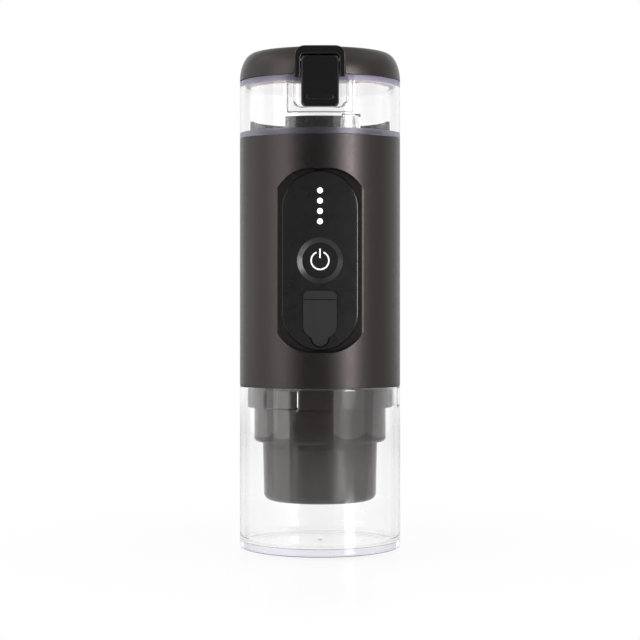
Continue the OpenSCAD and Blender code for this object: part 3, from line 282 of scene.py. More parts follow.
def even_line(line, count):
    """Points evenly spaced along a line of points."""
    along = np.concatenate([[0], np.cumsum(np.linalg.norm(np.diff(line, axis=0), axis=1))])
    even = np.linspace(0, along[-1], count)
    return np.stack([np.interp(even, along, line[:, 0]), np.interp(even, along, line[:, 1])], axis=1)


def round_box(half_w, half_h, corner, side, end):
    """Points round a rectangle with corner circles, counterclockwise from its lower right, as (x, z).

    The right side has side points, from the middle of the lower corner circle to the middle of the upper
    one, and the top has end points from there over to the left. The rest mirrors these.
    """
    turn = np.radians(np.linspace(0, 90, 49))
    arc = np.array([half_w, half_h]) - corner + corner * np.stack([np.cos(turn), np.sin(turn)], axis=1)
    right = even_line(np.concatenate([arc[24::-1] * [1, -1], arc[:25]]), side)
    top = even_line(np.concatenate([arc[24:], arc[:23:-1] * [-1, 1]]), end)
    return np.concatenate([right, top, -right, -top])


def sleeve_surface(shape):
    """Outer skin of the body sleeve.

    A cylinder with a rounded flat let into its front. The front is a sheet of rings from the panel's
    edge to the flat's outline, up the flat's end walls, and out to a rectangle of 120 degrees by the
    sleeve's height. On it the depth y is the smooth larger of the cylinder and of a flat whose walls
    come forward from its outline by a steady slope. The back is a plain grid of angle and height whose
    ends meet the rectangle's sides.
    """
    low, high = extent("body_sleeve")
    panel_low, panel_high = extent("control_panel")
    radius = high[0]
    middle = (panel_low[2] + panel_high[2]) / 2
    fit, margin = shape.panel_fit / MM, shape.flat_margin / MM
    half_w, half_h = (panel_high[0] - panel_low[0]) / 2, (panel_high[2] - panel_low[2]) / 2
    flat_w, flat_h, corner = shape.flat_half / MM, half_h + margin, shape.flat_corner / MM
    y_flat = -radius + shape.flat_inset / MM
    wall_slope, wall_reach = 7, 1.4
    # Points along a side, an end and the back, then rings of the flat, its walls and the cylinder round
    # them. The walls' rings crowd towards the flat, and the cylinder's towards the walls.
    side, end, back = 110, 90, 120
    flat_rings, wall_rings, body_rings = 18, 20, 28
    wall_crowd, body_crowd = 1.2, 1.25
    half_turn = np.radians(60)
    wide = radius * half_turn

    level = np.linspace(low[2], high[2], side)
    across = np.linspace(wide, -wide, end)
    outer = np.concatenate([
        np.stack([np.full(side, wide), level - middle], axis=1),
        np.stack([across, np.full(end, high[2] - middle)], axis=1),
        np.stack([np.full(side, -wide), level[::-1] - middle], axis=1),
        np.stack([-across, np.full(end, low[2] - middle)], axis=1)])
    inner = round_box(half_w + fit, half_h + fit, half_w + fit, side, end)
    walls = np.stack([round_box(flat_w + d, flat_h + d, corner + d, side, end)
                      for d in wall_reach * np.linspace(0, 1, wall_rings) ** wall_crowd])
    share = np.linspace(0, 1, flat_rings)[:-1, None, None]
    near = np.concatenate([inner + (walls[0] - inner) * share, walls])
    near[..., 0] = radius * np.arcsin(near[..., 0] / radius)
    share = np.linspace(0, 1, body_rings)[1:, None, None] ** body_crowd
    sheet = np.concatenate([near, near[-1] + (outer - near[-1]) * share])
    x, z = radius * np.sin(sheet[..., 0] / radius), sheet[..., 1]
    over_x = np.maximum(np.abs(x) - (flat_w - corner), 0)
    over_z = np.maximum(np.abs(z) - (flat_h - corner), 0)
    beyond = np.maximum(np.hypot(over_x, over_z) - corner, 0)
    y = smooth_max(-np.sqrt(radius ** 2 - x ** 2), y_flat - wall_slope * beyond, shape.edge_blend / MM)
    front = np.stack([x, y, z + middle], axis=-1).reshape(-1, 3)
    front_faces = grid_faces(len(sheet), len(inner), wrap=True)[:, ::-1]

    turn = np.linspace(half_turn, 2 * np.pi - half_turn, back)
    rear = np.broadcast_arrays(radius * np.sin(turn), -radius * np.cos(turn), level[:, None])
    rear = np.stack(rear, axis=-1).reshape(-1, 3)
    return join((front, front_faces), (rear, grid_faces(side, back)))


def lid_surface(shape):
    """Outer skin of the lid: a flat disc with a quarter-ellipse edge, carried round the axis.

    Each column starts at its own angle on the ellipse: 0 at the rim, higher over the hinge notch at
    the back, and where the skin passes the latch bezel's back plane at the front.
    """
    low, high = extent("lid_shell")
    bezel, leaf = extent("latch_bezel")[1], extent("hinge_leaf")[1]
    radius, edge, rise = high[0], shape.lid_edge / MM, high[2] - low[2]
    shoulder = radius - edge
    bezel_overlap, notch_w, notch_gap = 0.5, 15.6, 0.1
    # Extra columns, in degrees from the front, where the skin steps up beside the bezel and the notch
    steps = ((17.6, 18.6), (153.2, 154.4))
    extra = [sign * np.linspace(a, b, 7)[1:-1] for sign in (-1, 1) for a, b in steps]
    turn = np.radians(np.sort(np.concatenate([np.linspace(-180, 180, 256, endpoint=False), *extra])))
    from_front, from_back = np.abs(turn), np.pi - np.abs(turn)
    bezel_half, bezel_fade = np.arcsin(bezel[0] / radius), 0.006
    plane = -bezel[1] - bezel_overlap
    ratio = np.clip((plane / np.cos(np.minimum(from_front, 1)) - shoulder) / edge, 0, 1)
    over_bezel = np.arccos(ratio) * ease(bezel_half + bezel_fade, bezel_half, from_front)
    notch_half, notch_fade = np.arcsin(notch_w / radius), 0.012
    notch_angle = np.arcsin((leaf[2] + notch_gap - low[2]) / rise)
    over_notch = notch_angle * ease(notch_half + notch_fade, notch_half, from_back)
    start = np.maximum(over_bezel, over_notch)
    angle = start + (np.pi / 2 - start) * np.linspace(0, 1, 40)[:, None]
    disc = shoulder * np.linspace(1, 0, 12)[1:, None] + 0 * turn
    r = np.concatenate([shoulder + edge * np.cos(angle), disc])
    z = np.concatenate([low[2] + rise * np.sin(angle), 0 * disc + high[2]])
    points = np.stack([r * np.sin(turn), -r * np.cos(turn), z], axis=-1)
    return points.reshape(-1, 3), grid_faces(len(r), len(turn), wrap=True)


def cup_surface(shape):
    """Cup: a closed profile carried round the axis, with three grip lugs inside its mouth.

    The inner wall's radius is smaller by the lug's thickness where a smooth window of height and a
    smooth window of angle overlap.
    """
    high = extent("cup")[1]
    radius, top = high[0], high[2]
    inside, floor = radius - shape.cup_wall / MM, shape.cup_floor / MM
    lug_t, lug_low, lug_high, lug_half = 1.1, top - 8.8, top - 1.0, np.radians(13)
    # A lug rises within lug_edge of its foot, falls from lug_edge below its top to lug_lip above it,
    # and its sides take the angle lug_side
    lug_edge, lug_lip, lug_side = 0.3, 0.05, 0.02
    foot_in, foot_rise, gate_r, gate_deep = 28.0, 0.25, 1.1, 0.3
    # Corners of the profile with their roundings. Those without one hold a face flat up to its rounded
    # edge, so that its shading doesn't tilt.
    profile = np.array([
        (0, foot_rise, 0), (foot_in - 1, foot_rise, 0), (foot_in - foot_rise, foot_rise, 0.1),
        (foot_in, 0, 0.1), (radius, 0, 1.5), (radius, 2, 0), (radius, top - 1.2, 0), (radius, top, 0.6),
        (inside, top, 0.6), (inside, floor, 3.2), (inside - 4, floor, 0), (gate_r + 0.5, floor, 0),
        (gate_r, floor, 0.1), (gate_r - gate_deep, floor - gate_deep, 0.1), (0, floor - gate_deep, 0)])
    profile = soften(profile[:, :2], profile[:, 2], steps=8)
    level = np.sort(np.concatenate([
        np.linspace(floor + 4, top - 1.5, 30), np.linspace(lug_low - lug_edge, lug_low + lug_edge, 5),
        np.linspace(lug_high - lug_edge, lug_high - lug_lip, 4)]))[::-1]
    wall = np.stack([np.full(len(level), inside), level], axis=1)
    mouth = np.flatnonzero(np.isclose(profile[:, 0], inside) & (profile[:, 1] > top - 1))[-1]
    profile = np.concatenate([profile[:mouth + 1], wall, profile[mouth + 1:]])
    turn = np.radians(np.linspace(0, 360, 360, endpoint=False))
    apart = np.radians(120)
    off_lug = apart / 2 - np.abs((turn + np.radians(30)) % apart - apart / 2)
    beside = ease(lug_half + lug_side, lug_half, off_lug)
    r, z = profile[:, :1], profile[:, 1:]
    within = ease(lug_low - lug_edge, lug_low + lug_edge, z)
    within = within * ease(lug_high + lug_lip, lug_high - lug_edge, z)
    r = r - lug_t * within * beside * np.isclose(r, inside)
    points = np.stack(np.broadcast_arrays(r * np.sin(turn), -r * np.cos(turn), z), axis=-1)
    rows = np.concatenate([points, points[:1]])
    return rows.reshape(-1, 3), grid_faces(len(rows), len(turn), wrap=True)


def notched_ring(radius, half_w, y_floor, corner, around=240, along=160):
    """Points round a circle with a flat-floored notch let into its front, and round the plain circle.

    Counterclockwise from right of the notch round the back, then along the notch's walls and floor, whose
    corners are quadratic curves. The circle's points stand where the notch's were before it was cut.
    """
    edge = np.arcsin(half_w / radius)
    lead = edge + 2 * corner / radius
    turn = np.linspace(lead, 2 * np.pi - lead, around)
    back = radius * np.stack([np.sin(turn), -np.cos(turn)], axis=1)
    lip = -np.sqrt(radius ** 2 - half_w ** 2)
    corners = [back[-1], (-half_w, lip), (-half_w, y_floor), (half_w, y_floor), (half_w, lip), back[0]]
    front = even_line(soften(corners, [0, corner, corner, corner, corner, 0]), along + 2)[1:-1]
    sweep = np.linspace(-lead, lead, along + 2)[1:-1]
    plain = radius * np.stack([np.sin(sweep), -np.cos(sweep)], axis=1)
    return np.concatenate([back, front]), np.concatenate([back, plain])


def tank_surface(shape):
    """Water tank: one closed skin of outlines, from the foot up outside, over the rim and down inside.

    Below the ledge the outer rows are circles, and above it they have the latch pocket. The inner rows
    have the pocket's wall above its underside, then the stop lug, then the base flange. At the back the
    rim is lower between the hinge ears. The ledge rises in a quarter circle at the pocket's corners.
    """
    low, high = extent("water_tank")
    bezel = extent("latch_bezel")[1]
    lid_gap, flap_gap, bezel_gap, foot_edge = 0.2, 0.3, 0.4, 0.3
    radius, z_foot = high[0], low[2]
    z_rim, ledge = extent("lid_shell")[0][2] - lid_gap, extent("latch_flap")[0][2] - flap_gap
    wall, edge = shape.tank_wall / MM, shape.tank_rounding / MM
    half_w, y_floor = bezel[0] + bezel_gap, bezel[1] + bezel_gap
    inside, flange_in, flange_top = radius - wall, radius - 4.2, z_foot + 2.6
    pocket_corner, ledge_corner = 1.2, 2.2
    pocket, disc = notched_ring(radius, half_w, y_floor, pocket_corner)
    house, bore = notched_ring(inside, half_w + wall, y_floor + wall, pocket_corner)
    flange = bore * flange_in / inside
    # Names in side are half the length, or for the stop lug half the angle, that a form's sides take
    notch_half, notch_deep, notch_side = 11.8, 1.7, 0.25
    lower = (disc[:, 1] > 0) * ease(notch_half + notch_side, notch_half - notch_side, np.abs(disc[:, 0]))
    rim = z_rim - notch_deep * lower
    in_pocket = (pocket[:, 1] < y_floor + 0.01) & (pocket[:, 1] > 0.4 - radius)
    in_pocket &= np.isclose(pocket[:, 0], disc[:, 0], atol=4)
    into_corner = np.clip(np.abs(pocket[:, 0]) - half_w + ledge_corner, 0, ledge_corner) * in_pocket
    z_ledge = ledge + ledge_corner - np.sqrt(ledge_corner ** 2 - into_corner ** 2)

    def between(start, end, aside, z):
        """A row that lies aside millimetres from start towards end."""
        gap = end - start
        span = np.linalg.norm(gap, axis=1, keepdims=True)
        share = np.clip(aside / np.maximum(span, 1e-9), 0, 1)
        return np.column_stack([start + gap * share, np.minimum(z, rim - edge)])

    def upright(outline, z):
        """A level row."""
        return np.column_stack([outline, np.minimum(z, rim - edge)])

    quarter = np.radians(np.linspace(0, 90, 5))
    rows = [upright(disc * (radius - foot_edge) / radius, z_foot), upright(disc, z_foot + foot_edge)]
    rows += [upright(disc, z) for z in np.linspace(flange_top, ledge - edge - 0.2, 8)]
    rows += [between(disc, pocket, edge * (1 - np.cos(a)), z_ledge - edge + edge * np.sin(a))
             for a in quarter]
    span = np.linalg.norm(pocket - disc, axis=1, keepdims=True)
    rows += [between(disc, pocket, np.maximum(span - edge * (1 - np.sin(a)), edge),
                     z_ledge + edge * (1 - np.cos(a))) for a in quarter]
    catch_low, catch_high, catch_half, catch_edge, catch_side = ledge + 2.4, ledge + 4.9, 4.0, 0.5, 0.2
    levels = np.concatenate([
        np.linspace(ledge + 1.2, catch_low - 0.2, 3), np.linspace(catch_low, catch_low + catch_edge, 4),
        np.linspace(catch_high - catch_edge, catch_high, 4),
        np.linspace(catch_high + 0.3, z_rim - 0.6, 14)])
    on_catch = ease(catch_half + catch_side, catch_half - catch_side, np.abs(pocket[:, 0]))
    on_catch = np.isclose(pocket[:, 1], y_floor) * on_catch
    for z in levels:
        row = upright(pocket, np.maximum(z, z_ledge + edge))
        row[:, 1] -= (on_catch * ease(catch_low, catch_low + catch_edge, z)
                      * ease(catch_high, catch_high - catch_edge, z))
        rows.append(row)
    for share, drop in ((0, edge), (0.05, 0.15), (0.2, 0), (0.8, 0), (0.95, 0.15), (1, edge)):
        rows.append(np.column_stack([pocket * (1 - share) + house * share, rim - drop]))
    z_house = ledge - wall
    rows += [upright(house, z) for z in np.linspace(z_rim - 1, z_house + edge + 0.2, 12)]
    rows += [between(house, bore, edge * (1 - np.cos(a)), z_house + edge - edge * np.sin(a))
             for a in quarter]
    rows.append(upright(bore, z_house - 0.1))
    stop_top, stop_deep, stop_edge = z_foot + 8.4, 1.7, 0.25
    stop_turn, stop_half, stop_side = np.radians(23), np.radians(6.5), 0.015
    off_stop = np.abs(np.arctan2(bore[:, 0], -bore[:, 1]) - stop_turn)
    stop = stop_deep * ease(stop_half + stop_side, stop_half - stop_side, off_stop)[:, None]
    stop_start = [stop_top + stop_edge, stop_top, stop_top - stop_edge]
    for z in np.concatenate([stop_start, np.linspace(stop_top - 1, flange_top, 6)]):
        share = ease(stop_top + stop_edge, stop_top - stop_edge, z)
        rows.append(upright(bore * (1 - stop * share / inside), z))
    rows += [upright(flange, flange_top), upright(flange, z_foot), rows[0]]
    points = np.stack(rows)
    return points.reshape(-1, 3), grid_faces(len(rows), points.shape[1], wrap=True)


def ear_surface(side):
    """Hinge ear: a bracket outline in depth and height, given its width along the hinge."""
    pin_low, pin_high = extent("lid_hinge_pin")
    y, z = (pin_low[1] + pin_high[1]) / 2, (pin_low[2] + pin_high[2]) / 2
    foot, leg, near, far = z - 0.95, 2.6, 11.8, 15.0
    outline = soften(
        [(y - 2, foot), (y - 0.2, foot), (y - 0.2, foot - leg), (y + 1, foot - leg), (y + 1, foot),
         (y + 2, z), (y + 1.5, z + 1.7), (y, z + 2), (y - 1.5, z + 1.7), (y - 2, z)], 0.45, steps=4)
    points, faces = slab(outline, near, far, 0.3)
    return points[:, [1, 0, 2]] * [side, 1, 1], faces


def carried(outer, inner, section):
    """A closed section carried along a strip between two lines of equal length.

    A section point (share, y) lies that share of the way from the outer line to the inner one, at
    the depth y. Both ends close to a point.
    """
    share, y = section[:, 0][None, :, None], section[:, 1]
    flat = outer[:, None] * (1 - share) + inner[:, None] * share
    points = np.stack(np.broadcast_arrays(flat[..., 0], y, flat[..., 1]), axis=-1)
    ends = [np.broadcast_to(row.mean(axis=0), row.shape) for row in (points[0], points[-1])]
    points = np.concatenate([ends[:1], points, ends[1:]])
    return points.reshape(-1, 3), grid_faces(len(points), len(section), wrap=True)


def slab(outline, y_front, y_back, bevel, steps=5):
    """Plate with the given (x, z) outline between two depths, with its front edge rounded.

    Rows of the outline go from the back's middle out to its edge, forward, round a quarter circle of
    radius bevel in towards the front's middle.
    """
    middle = (outline.min(axis=0) + outline.max(axis=0)) / 2
    half = (outline.max(axis=0) - outline.min(axis=0)) / 2
    turn = np.linspace(0, np.pi / 2, steps + 1)
    inset = np.concatenate([[0, 0], bevel * (1 - np.cos(turn))])
    y = np.concatenate([[y_back, y_back], y_front + bevel * (1 - np.sin(turn))])
    scale = 1 - inset[:, None] / half
    scale[0] = 0
    rows = middle + (outline - middle) * scale[:, None]
    points = np.stack(np.broadcast_arrays(rows[..., 0], y[:, None], rows[..., 1]), axis=-1)
    tip = np.broadcast_to([middle[0], y_front, middle[1]], points[:1].shape)
    points = np.concatenate([points, tip])
    return points.reshape(-1, 3), grid_faces(len(points), len(outline), wrap=True)


def box_outline(half_w, low, high, corner):
    """Rounded rectangle in (x, z)."""
    return soften([(-half_w, low), (half_w, low), (half_w, high), (-half_w, high)], corner)


def arch_surface():
    """Latch bezel: a rounded section carried along the strip between an arch and the flap's slot."""
    low, high = extent("latch_bezel")
    flap = extent("latch_flap")[1]
    slot_half, slot_top, slot_corner = flap[0] + 0.3, flap[2] + 0.7, 2.1
    arch_top, arch_corner = high[2] + 0.8, 4.8
    outer = soften(
        [(high[0], low[2]), (high[0], arch_top), (low[0], arch_top), (low[0], low[2])],
        [0, arch_corner, arch_corner, 0], steps=12)
    inner = soften(
        [(slot_half, low[2]), (slot_half, slot_top), (-slot_half, slot_top), (-slot_half, low[2])],
        [0, slot_corner, slot_corner, 0], steps=12)
    leg = high[0] - slot_half
    section = soften([(0, low[1]), (leg, low[1]), (leg, high[1]), (0, high[1])], 0.5, steps=5)
    return carried(outer, inner, section / [leg, 1])


def lever_surface(shape):
    """Latch flap: a chamfered plate with a grip bar in front, and a hook and a pin knuckle behind it."""
    low, high = extent("latch_flap")
    bevel, bar_out, thick = shape.latch_bevel / MM, 0.35, 2.4
    y_front = low[1] + bar_out
    y_back = y_front + thick
    bar_z, bar_half, bar_r = low[2] + 3.8, 5.9, 1.1
    pin_z, knuckle_r = extent("latch_pin")[0][2] + 0.8, 1.6
    plate = slab(box_outline(high[0], low[2], high[2], 1.8), y_front, y_back, bevel, steps=1)
    bar = slab(box_outline(bar_half, bar_z - bar_r, bar_z + bar_r, bar_r), low[1], y_front + 0.3, 0.45)
    hook = slab(box_outline(4, low[2] + 0.9, low[2] + 2.0, 0.2), y_back - 0.2, high[1], 0.1)
    knuckle = slab(box_outline(high[0] - bevel, pin_z - knuckle_r, pin_z + knuckle_r, 1.5),
                   y_front + 1.0, y_front + 3.35, 0.2)
    return join(plate, bar, hook, knuckle)


# Materials


def add_node(tree, kind, settings=(), links=()):
    """Adds one node, sets its properties and inputs, and links its inputs to other outputs.

    A link may name another node, whose first output is meant.
    """
    node = tree.nodes.new(kind)
    for key, value in dict(settings).items():
        if isinstance(key, str) and hasattr(node, key):
            setattr(node, key, value)
        else:
            node.inputs[key].default_value = value
    for key, source in dict(links).items():
        if isinstance(source, bpy.types.Node):
            source = source.outputs[0]
        tree.links.new(source, node.inputs[key])
    return node


def start_material(name):
    """A new material with only its output, and the Object coordinates that its patterns read."""
    material = bpy.data.materials.new(name)
    material.use_nodes = True
    tree = material.node_tree
    tree.nodes.clear()
    place = add_node(tree, "ShaderNodeTexCoord").outputs["Object"]
    return material, tree, place


def opaque(name, colour, grain, spread, rough, bump_mm, stretch=(1, 1, 1), **shader):
    """A grained solid finish.

    Two noises, of grain and of six times grain millimetres, vary the colour by the share spread and the
    roughness between two values, and the finer one raises the surface by bump_mm.
    """
    material, tree, place = start_material(name)
    place = add_node(tree, "ShaderNodeMapping", {"Scale": stretch}, {"Vector": place})
    noises = [{"Scale": per_metre(grain), "Detail": 3.0}, {"Scale": per_metre(6 * grain), "Detail": 2.0}]
    fine, broad = [add_node(tree, "ShaderNodeTexNoise", noise, {"Vector": place}) for noise in noises]
    colour = np.array(colour)
    dark, light = colour * (1 - spread), np.minimum(colour * (1 + spread), 1)
    tint = add_node(
        tree, "ShaderNodeMix", {"data_type": "RGBA", 6: (*dark, 1), 7: (*light, 1)}, {0: fine})
    gloss = add_node(
        tree, "ShaderNodeMapRange",
        {"From Min": 0.3, "From Max": 0.7, "To Min": rough[0], "To Max": rough[1]}, {"Value": broad})
    relief = add_node(tree, "ShaderNodeBump", {"Strength": 1.0, "Distance": bump_mm * MM}, {"Height": fine})
    surface = add_node(
        tree, "ShaderNodeBsdfPrincipled", shader,
        {"Base Color": tint.outputs[2], "Roughness": gloss, "Normal": relief})
    add_node(tree, "ShaderNodeOutputMaterial", (), {"Surface": surface})
    return material


def satin_paint(finish):
    # Metallic satin paint on a moulded shell: broad soft highlights, a very fine flake and slight orange
    # peel. Real flake is near 0.05 mm and is drawn at 0.3 mm so that it shows.
    return opaque("satin_metallic_paint", finish.paint, 0.3, 0.12, (0.33, 0.39), 0.0012, Metallic=1.0)


def panel_abs(finish):
    # Satin black ABS of the control panel: soft reflections, and the face crowned by a fraction of a
    # millimetre, 2.5 times the square of x in metres, so that light falls off across it.
    material = opaque("satin_panel_abs", finish.gloss, 0.6, 0.08, (0.27, 0.33), 0.0008, IOR=1.56)
    tree = material.node_tree
    place = add_node(tree, "ShaderNodeTexCoord").outputs["Object"]
    across = add_node(tree, "ShaderNodeSeparateXYZ", (), {0: place}).outputs["X"]
    square = add_node(tree, "ShaderNodeMath", {"operation": "MULTIPLY"}, {0: across, 1: across})
    fall = add_node(tree, "ShaderNodeMath", {"operation": "MULTIPLY", 1: -2.5}, {0: square})
    normal = next(node for node in tree.nodes if node.type == "BSDF_PRINCIPLED").inputs["Normal"]
    crown = add_node(
        tree, "ShaderNodeBump", {"Strength": 1.0, "Distance": 1.0},
        {"Height": fall, "Normal": normal.links[0].from_socket})
    tree.links.new(crown.outputs["Normal"], normal)
    return material


def polished_abs(finish):
    # Polished black ABS: sharp reflections over a near-black base, with faint handling haze.
    return opaque("polished_black_abs", finish.gloss, 1.5, 0.08, (0.13, 0.19), 0.0004, IOR=1.54)


def moulded_abs(finish):
    # Spark-textured black ABS: matt, with the mould's fine grain.
    return opaque("moulded_black_abs", finish.moulded, 0.4, 0.15, (0.46, 0.58), 0.012, IOR=1.54)


def satin_abs(finish):
    # Smooth satin black ABS of the tank's collar: dark from the front, grey where it turns to the light.
    return opaque("satin_black_abs", finish.moulded, 0.6, 0.1, (0.24, 0.3), 0.002, IOR=1.54)


def tinted_gloss(finish):
    # Glossy dark grey-brown plastic of the brew group, moulded smooth.
    return opaque("glossy_umber_plastic", finish.brew, 1.2, 0.07, (0.17, 0.24), 0.0004, IOR=1.55)


def moulded_rubber(finish):
    # Moulded rubber with a slight bloom.
    return opaque("moulded_rubber", finish.rubber, 0.35, 0.16, (0.5, 0.62), 0.008, IOR=1.52)


def pale_plastic_painted_light():
    # Pale polypropylene of the lid's underside: near white, so that its brightness stands in for light seen
    # through a clear lid, which is painted light. Slightly translucent, with a polished clear skin.
    return opaque(
        "pale_polypropylene_painted_light", linear("#eceaf0"), 1.5, 0.03, (0.08, 0.14), 0.0005,
        **{"IOR": 1.49, "Subsurface Weight": 0.15, "Subsurface Scale": 0.002, "Coat Weight": 1.0,
           "Coat Roughness": 0.05})


def silicone_rubber():
    # Milky silicone of seals and hoses.
    return opaque(
        "milky_silicone", linear("#c9c3bd"), 0.8, 0.05, (0.38, 0.5), 0.004,
        **{"IOR": 1.41, "Subsurface Weight": 0.2, "Subsurface Scale": 0.002})


def brushed_steel():
    # Brushed stainless steel: fine scratches along one direction, 0.2 mm apart.
    return opaque(
        "brushed_stainless_steel", linear("#c6c5c3"), 0.2, 0.1, (0.24, 0.36), 0.003, stretch=(0.04, 1, 1),
        Metallic=1.0)


def cast_aluminium():
    # Plain cast aluminium: matt metal with a pebbled skin.
    return opaque("cast_aluminium", linear("#b4b1ab"), 0.6, 0.12, (0.42, 0.55), 0.02, Metallic=1.0)


def circuit_board():
    # Green solder lacquer over copper tracks, 0.9 mm apart.
    return opaque("lacquered_board", linear("#1d5a34"), 0.9, 0.3, (0.25, 0.4), 0.01, stretch=(1, 1, 0.3))


def shrink_wrap():
    # Blue shrink sleeve on a steel can.
    return opaque("blue_shrink_sleeve", linear("#2f6ea8"), 2.0, 0.08, (0.28, 0.36), 0.004)


def plated_can():
    # Zinc-plated motor can.
    return opaque("zinc_plated_steel", linear("#a9abad"), 0.7, 0.08, (0.3, 0.42), 0.004, Metallic=1.0)


def lit_guide(name, bright):
    # White light guide, lit from behind: even, with a slightly brighter core grain.
    material, tree, place = start_material(name)
    grain = add_node(tree, "ShaderNodeTexNoise", {"Scale": per_metre(0.6)}, {"Vector": place})
    glow = add_node(
        tree, "ShaderNodeMapRange", {"To Min": 0.88 * bright, "To Max": bright}, {"Value": grain})
    surface = add_node(
        tree, "ShaderNodeBsdfPrincipled",
        {"Base Color": (*linear("#f4f5fa"), 1), "Roughness": 0.35, "Emission Color": (0.97, 0.98, 1.0, 1)},
        {"Emission Strength": glow})
    add_node(tree, "ShaderNodeOutputMaterial", (), {"Surface": surface})
    return material


def copolyester(name, colour, rough, finish):
    # Clear moulded copolyester: almost colourless through a wall, faintly lavender through a thick rim,
    # with the slight waviness of a moulding. The weld bands are hazier than the polished walls.
    material, tree, place = start_material(name)
    flow = add_node(tree, "ShaderNodeTexNoise", {"Scale": per_metre(9), "Detail": 1.0}, {"Vector": place})
    haze = add_node(tree, "ShaderNodeMapRange", {"To Min": rough[0], "To Max": rough[1]}, {"Value": flow})
    ripple = add_node(tree, "ShaderNodeBump", {"Strength": 1.0, "Distance": 0.004 * MM}, {"Height": flow})
    surface = add_node(
        tree, "ShaderNodeBsdfPrincipled",
        {"Base Color": (*colour, 1), "Transmission Weight": 1.0, "IOR": 1.5},
        {"Roughness": haze, "Normal": ripple})
    depth = add_node(tree, "ShaderNodeVolumeAbsorption", {"Color": (*finish.clear, 1), "Density": 8.0})
    add_node(tree, "ShaderNodeOutputMaterial", (), {"Surface": surface, "Volume": depth})
    return material


def clear_copolyester(finish):
    """The polished walls."""
    return copolyester("clear_copolyester", (0.99, 0.99, 0.99), (0.004, 0.02), finish)


def hazy_copolyester(finish):
    """The weld bands."""
    return copolyester("hazy_copolyester", finish.haze, (0.3, 0.4), finish)


def haze_faces(piece, hazy, chosen):
    """Gives the faces whose middle passes the test a second, hazier finish."""
    mesh = piece.data
    mesh.materials.append(hazy)
    middle = np.empty(3 * len(mesh.polygons))
    mesh.polygons.foreach_get("center", middle)
    mesh.polygons.foreach_set("material_index", chosen(*(middle.reshape(-1, 3).T / MM)).astype(np.int32))


def dress(material, *nodes):
    """Gives CAD nodes that keep their shape a finish."""
    for name in nodes:
        for slot in frame["nodes"][name].material_slots:
            slot.material = material


# Operators


class PaintedShell(bpy.types.Operator):
    """Makes the body sleeve and the lid shell"""

    bl_idname = "espresso.painted_shell"
    bl_label = "Painted Shell"

    def execute(self, context):
        shape, paint = context.scene.espresso_shape, satin_paint(context.scene.espresso_finish)
        sleeve = put_piece(
            "sleeve_skin", sleeve_surface(shape), paint, "machine", ["body_sleeve"], closed=False)
        thicken(sleeve, shape.sleeve_wall, shape.rim_bevel)
        lid = put_piece("lid_skin", lid_surface(shape), paint, "lid", ["lid_shell"], closed=False)
        thicken(lid, shape.lid_wall, shape.rim_bevel)
        return {"FINISHED"}


class ClearCup(bpy.types.Operator):
    """Makes the clear cup"""

    bl_idname = "espresso.clear_cup"
    bl_label = "Clear Cup"

    def execute(self, context):
        finish, shape = context.scene.espresso_finish, context.scene.espresso_shape
        cup = put_piece(
            "cup_wall", cup_surface(shape), clear_copolyester(finish), "cup", ["cup"])
        cup.visible_shadow = False
        return {"FINISHED"}


class ClearTank(bpy.types.Operator):
    """Finishes the water tank, its collar and its floor"""

    bl_idname = "espresso.clear_tank"
    bl_label = "Clear Tank"

    def execute(self, context):
        finish, shape = context.scene.espresso_finish, context.scene.espresso_shape
        surface = join(tank_surface(shape), ear_surface(-1), ear_surface(1))
        tank = put_piece(
            "tank_wall", surface, clear_copolyester(finish), "machine", ["water_tank"])
        rim = extent("lid_shell")[0][2] - shape.haze_band / MM
        flange = extent("water_tank")[0][2] + 2.7
        haze_faces(tank, hazy_copolyester(finish), lambda x, y, z: (z < flange) | (z > rim))
        tank.visible_shadow = False
        dress(satin_abs(finish), "tank_collar")
        dress(moulded_abs(finish), "top_deck", "hinge_leaf")
        # The lid's underside is near white, standing in for light through a clear lid: painted light
        dress(pale_plastic_painted_light(), "lid_plate")
        dress(silicone_rubber(), "lid_seal", "tank_seal")
        dress(brushed_steel(), "heater_plate", "lid_hinge_pin")
        return {"FINISHED"}


class Latch(bpy.types.Operator):
    """Makes the latch bezel and the latch flap"""

    bl_idname = "espresso.latch"
    bl_label = "Latch"

    def execute(self, context):
        shape, gloss = context.scene.espresso_shape, polished_abs(context.scene.espresso_finish)
        put_piece("latch_arch", arch_surface(), gloss, "lid", ["latch_bezel"])
        put_piece(
            "latch_lever", lever_surface(shape), gloss, "latch", ["latch_flap"], crease=28)
        dress(brushed_steel(), "latch_pin")
        return {"FINISHED"}


class ControlPanel(bpy.types.Operator):
    """Finishes the control panel, button, lights and socket"""

    bl_idname = "espresso.control_panel"
    bl_label = "Control Panel"

    def execute(self, context):
        finish = context.scene.espresso_finish
        dress(panel_abs(finish), "control_panel", "power_button")
        dress(lit_guide("lit_light_guide", 0.9), "level_lights")
        dress(lit_guide("lit_symbol_guide", 0.38), "power_symbol")
        dress(moulded_rubber(finish), "socket_flap", "socket_strip")
        dress(brushed_steel(), "charging_socket")
        dress(circuit_board(), "control_board")
        dress(moulded_abs(finish), "button_switch")
        return {"FINISHED"}


class BrewGroup(bpy.types.Operator):
    """Finishes the spigot, bayonet ring and capsule chamber"""

    bl_idname = "espresso.brew_group"
    bl_label = "Brew Group"

    def execute(self, context):
        finish = context.scene.espresso_finish
        dress(tinted_gloss(finish), "brew_head", "bayonet_ring", "capsule_chamber")
        dress(moulded_abs(finish), "capsule_basket")
        dress(brushed_steel(), "shower_plate", "outlet_grid")
        dress(silicone_rubber(), "brew_gasket")
        return {"FINISHED"}


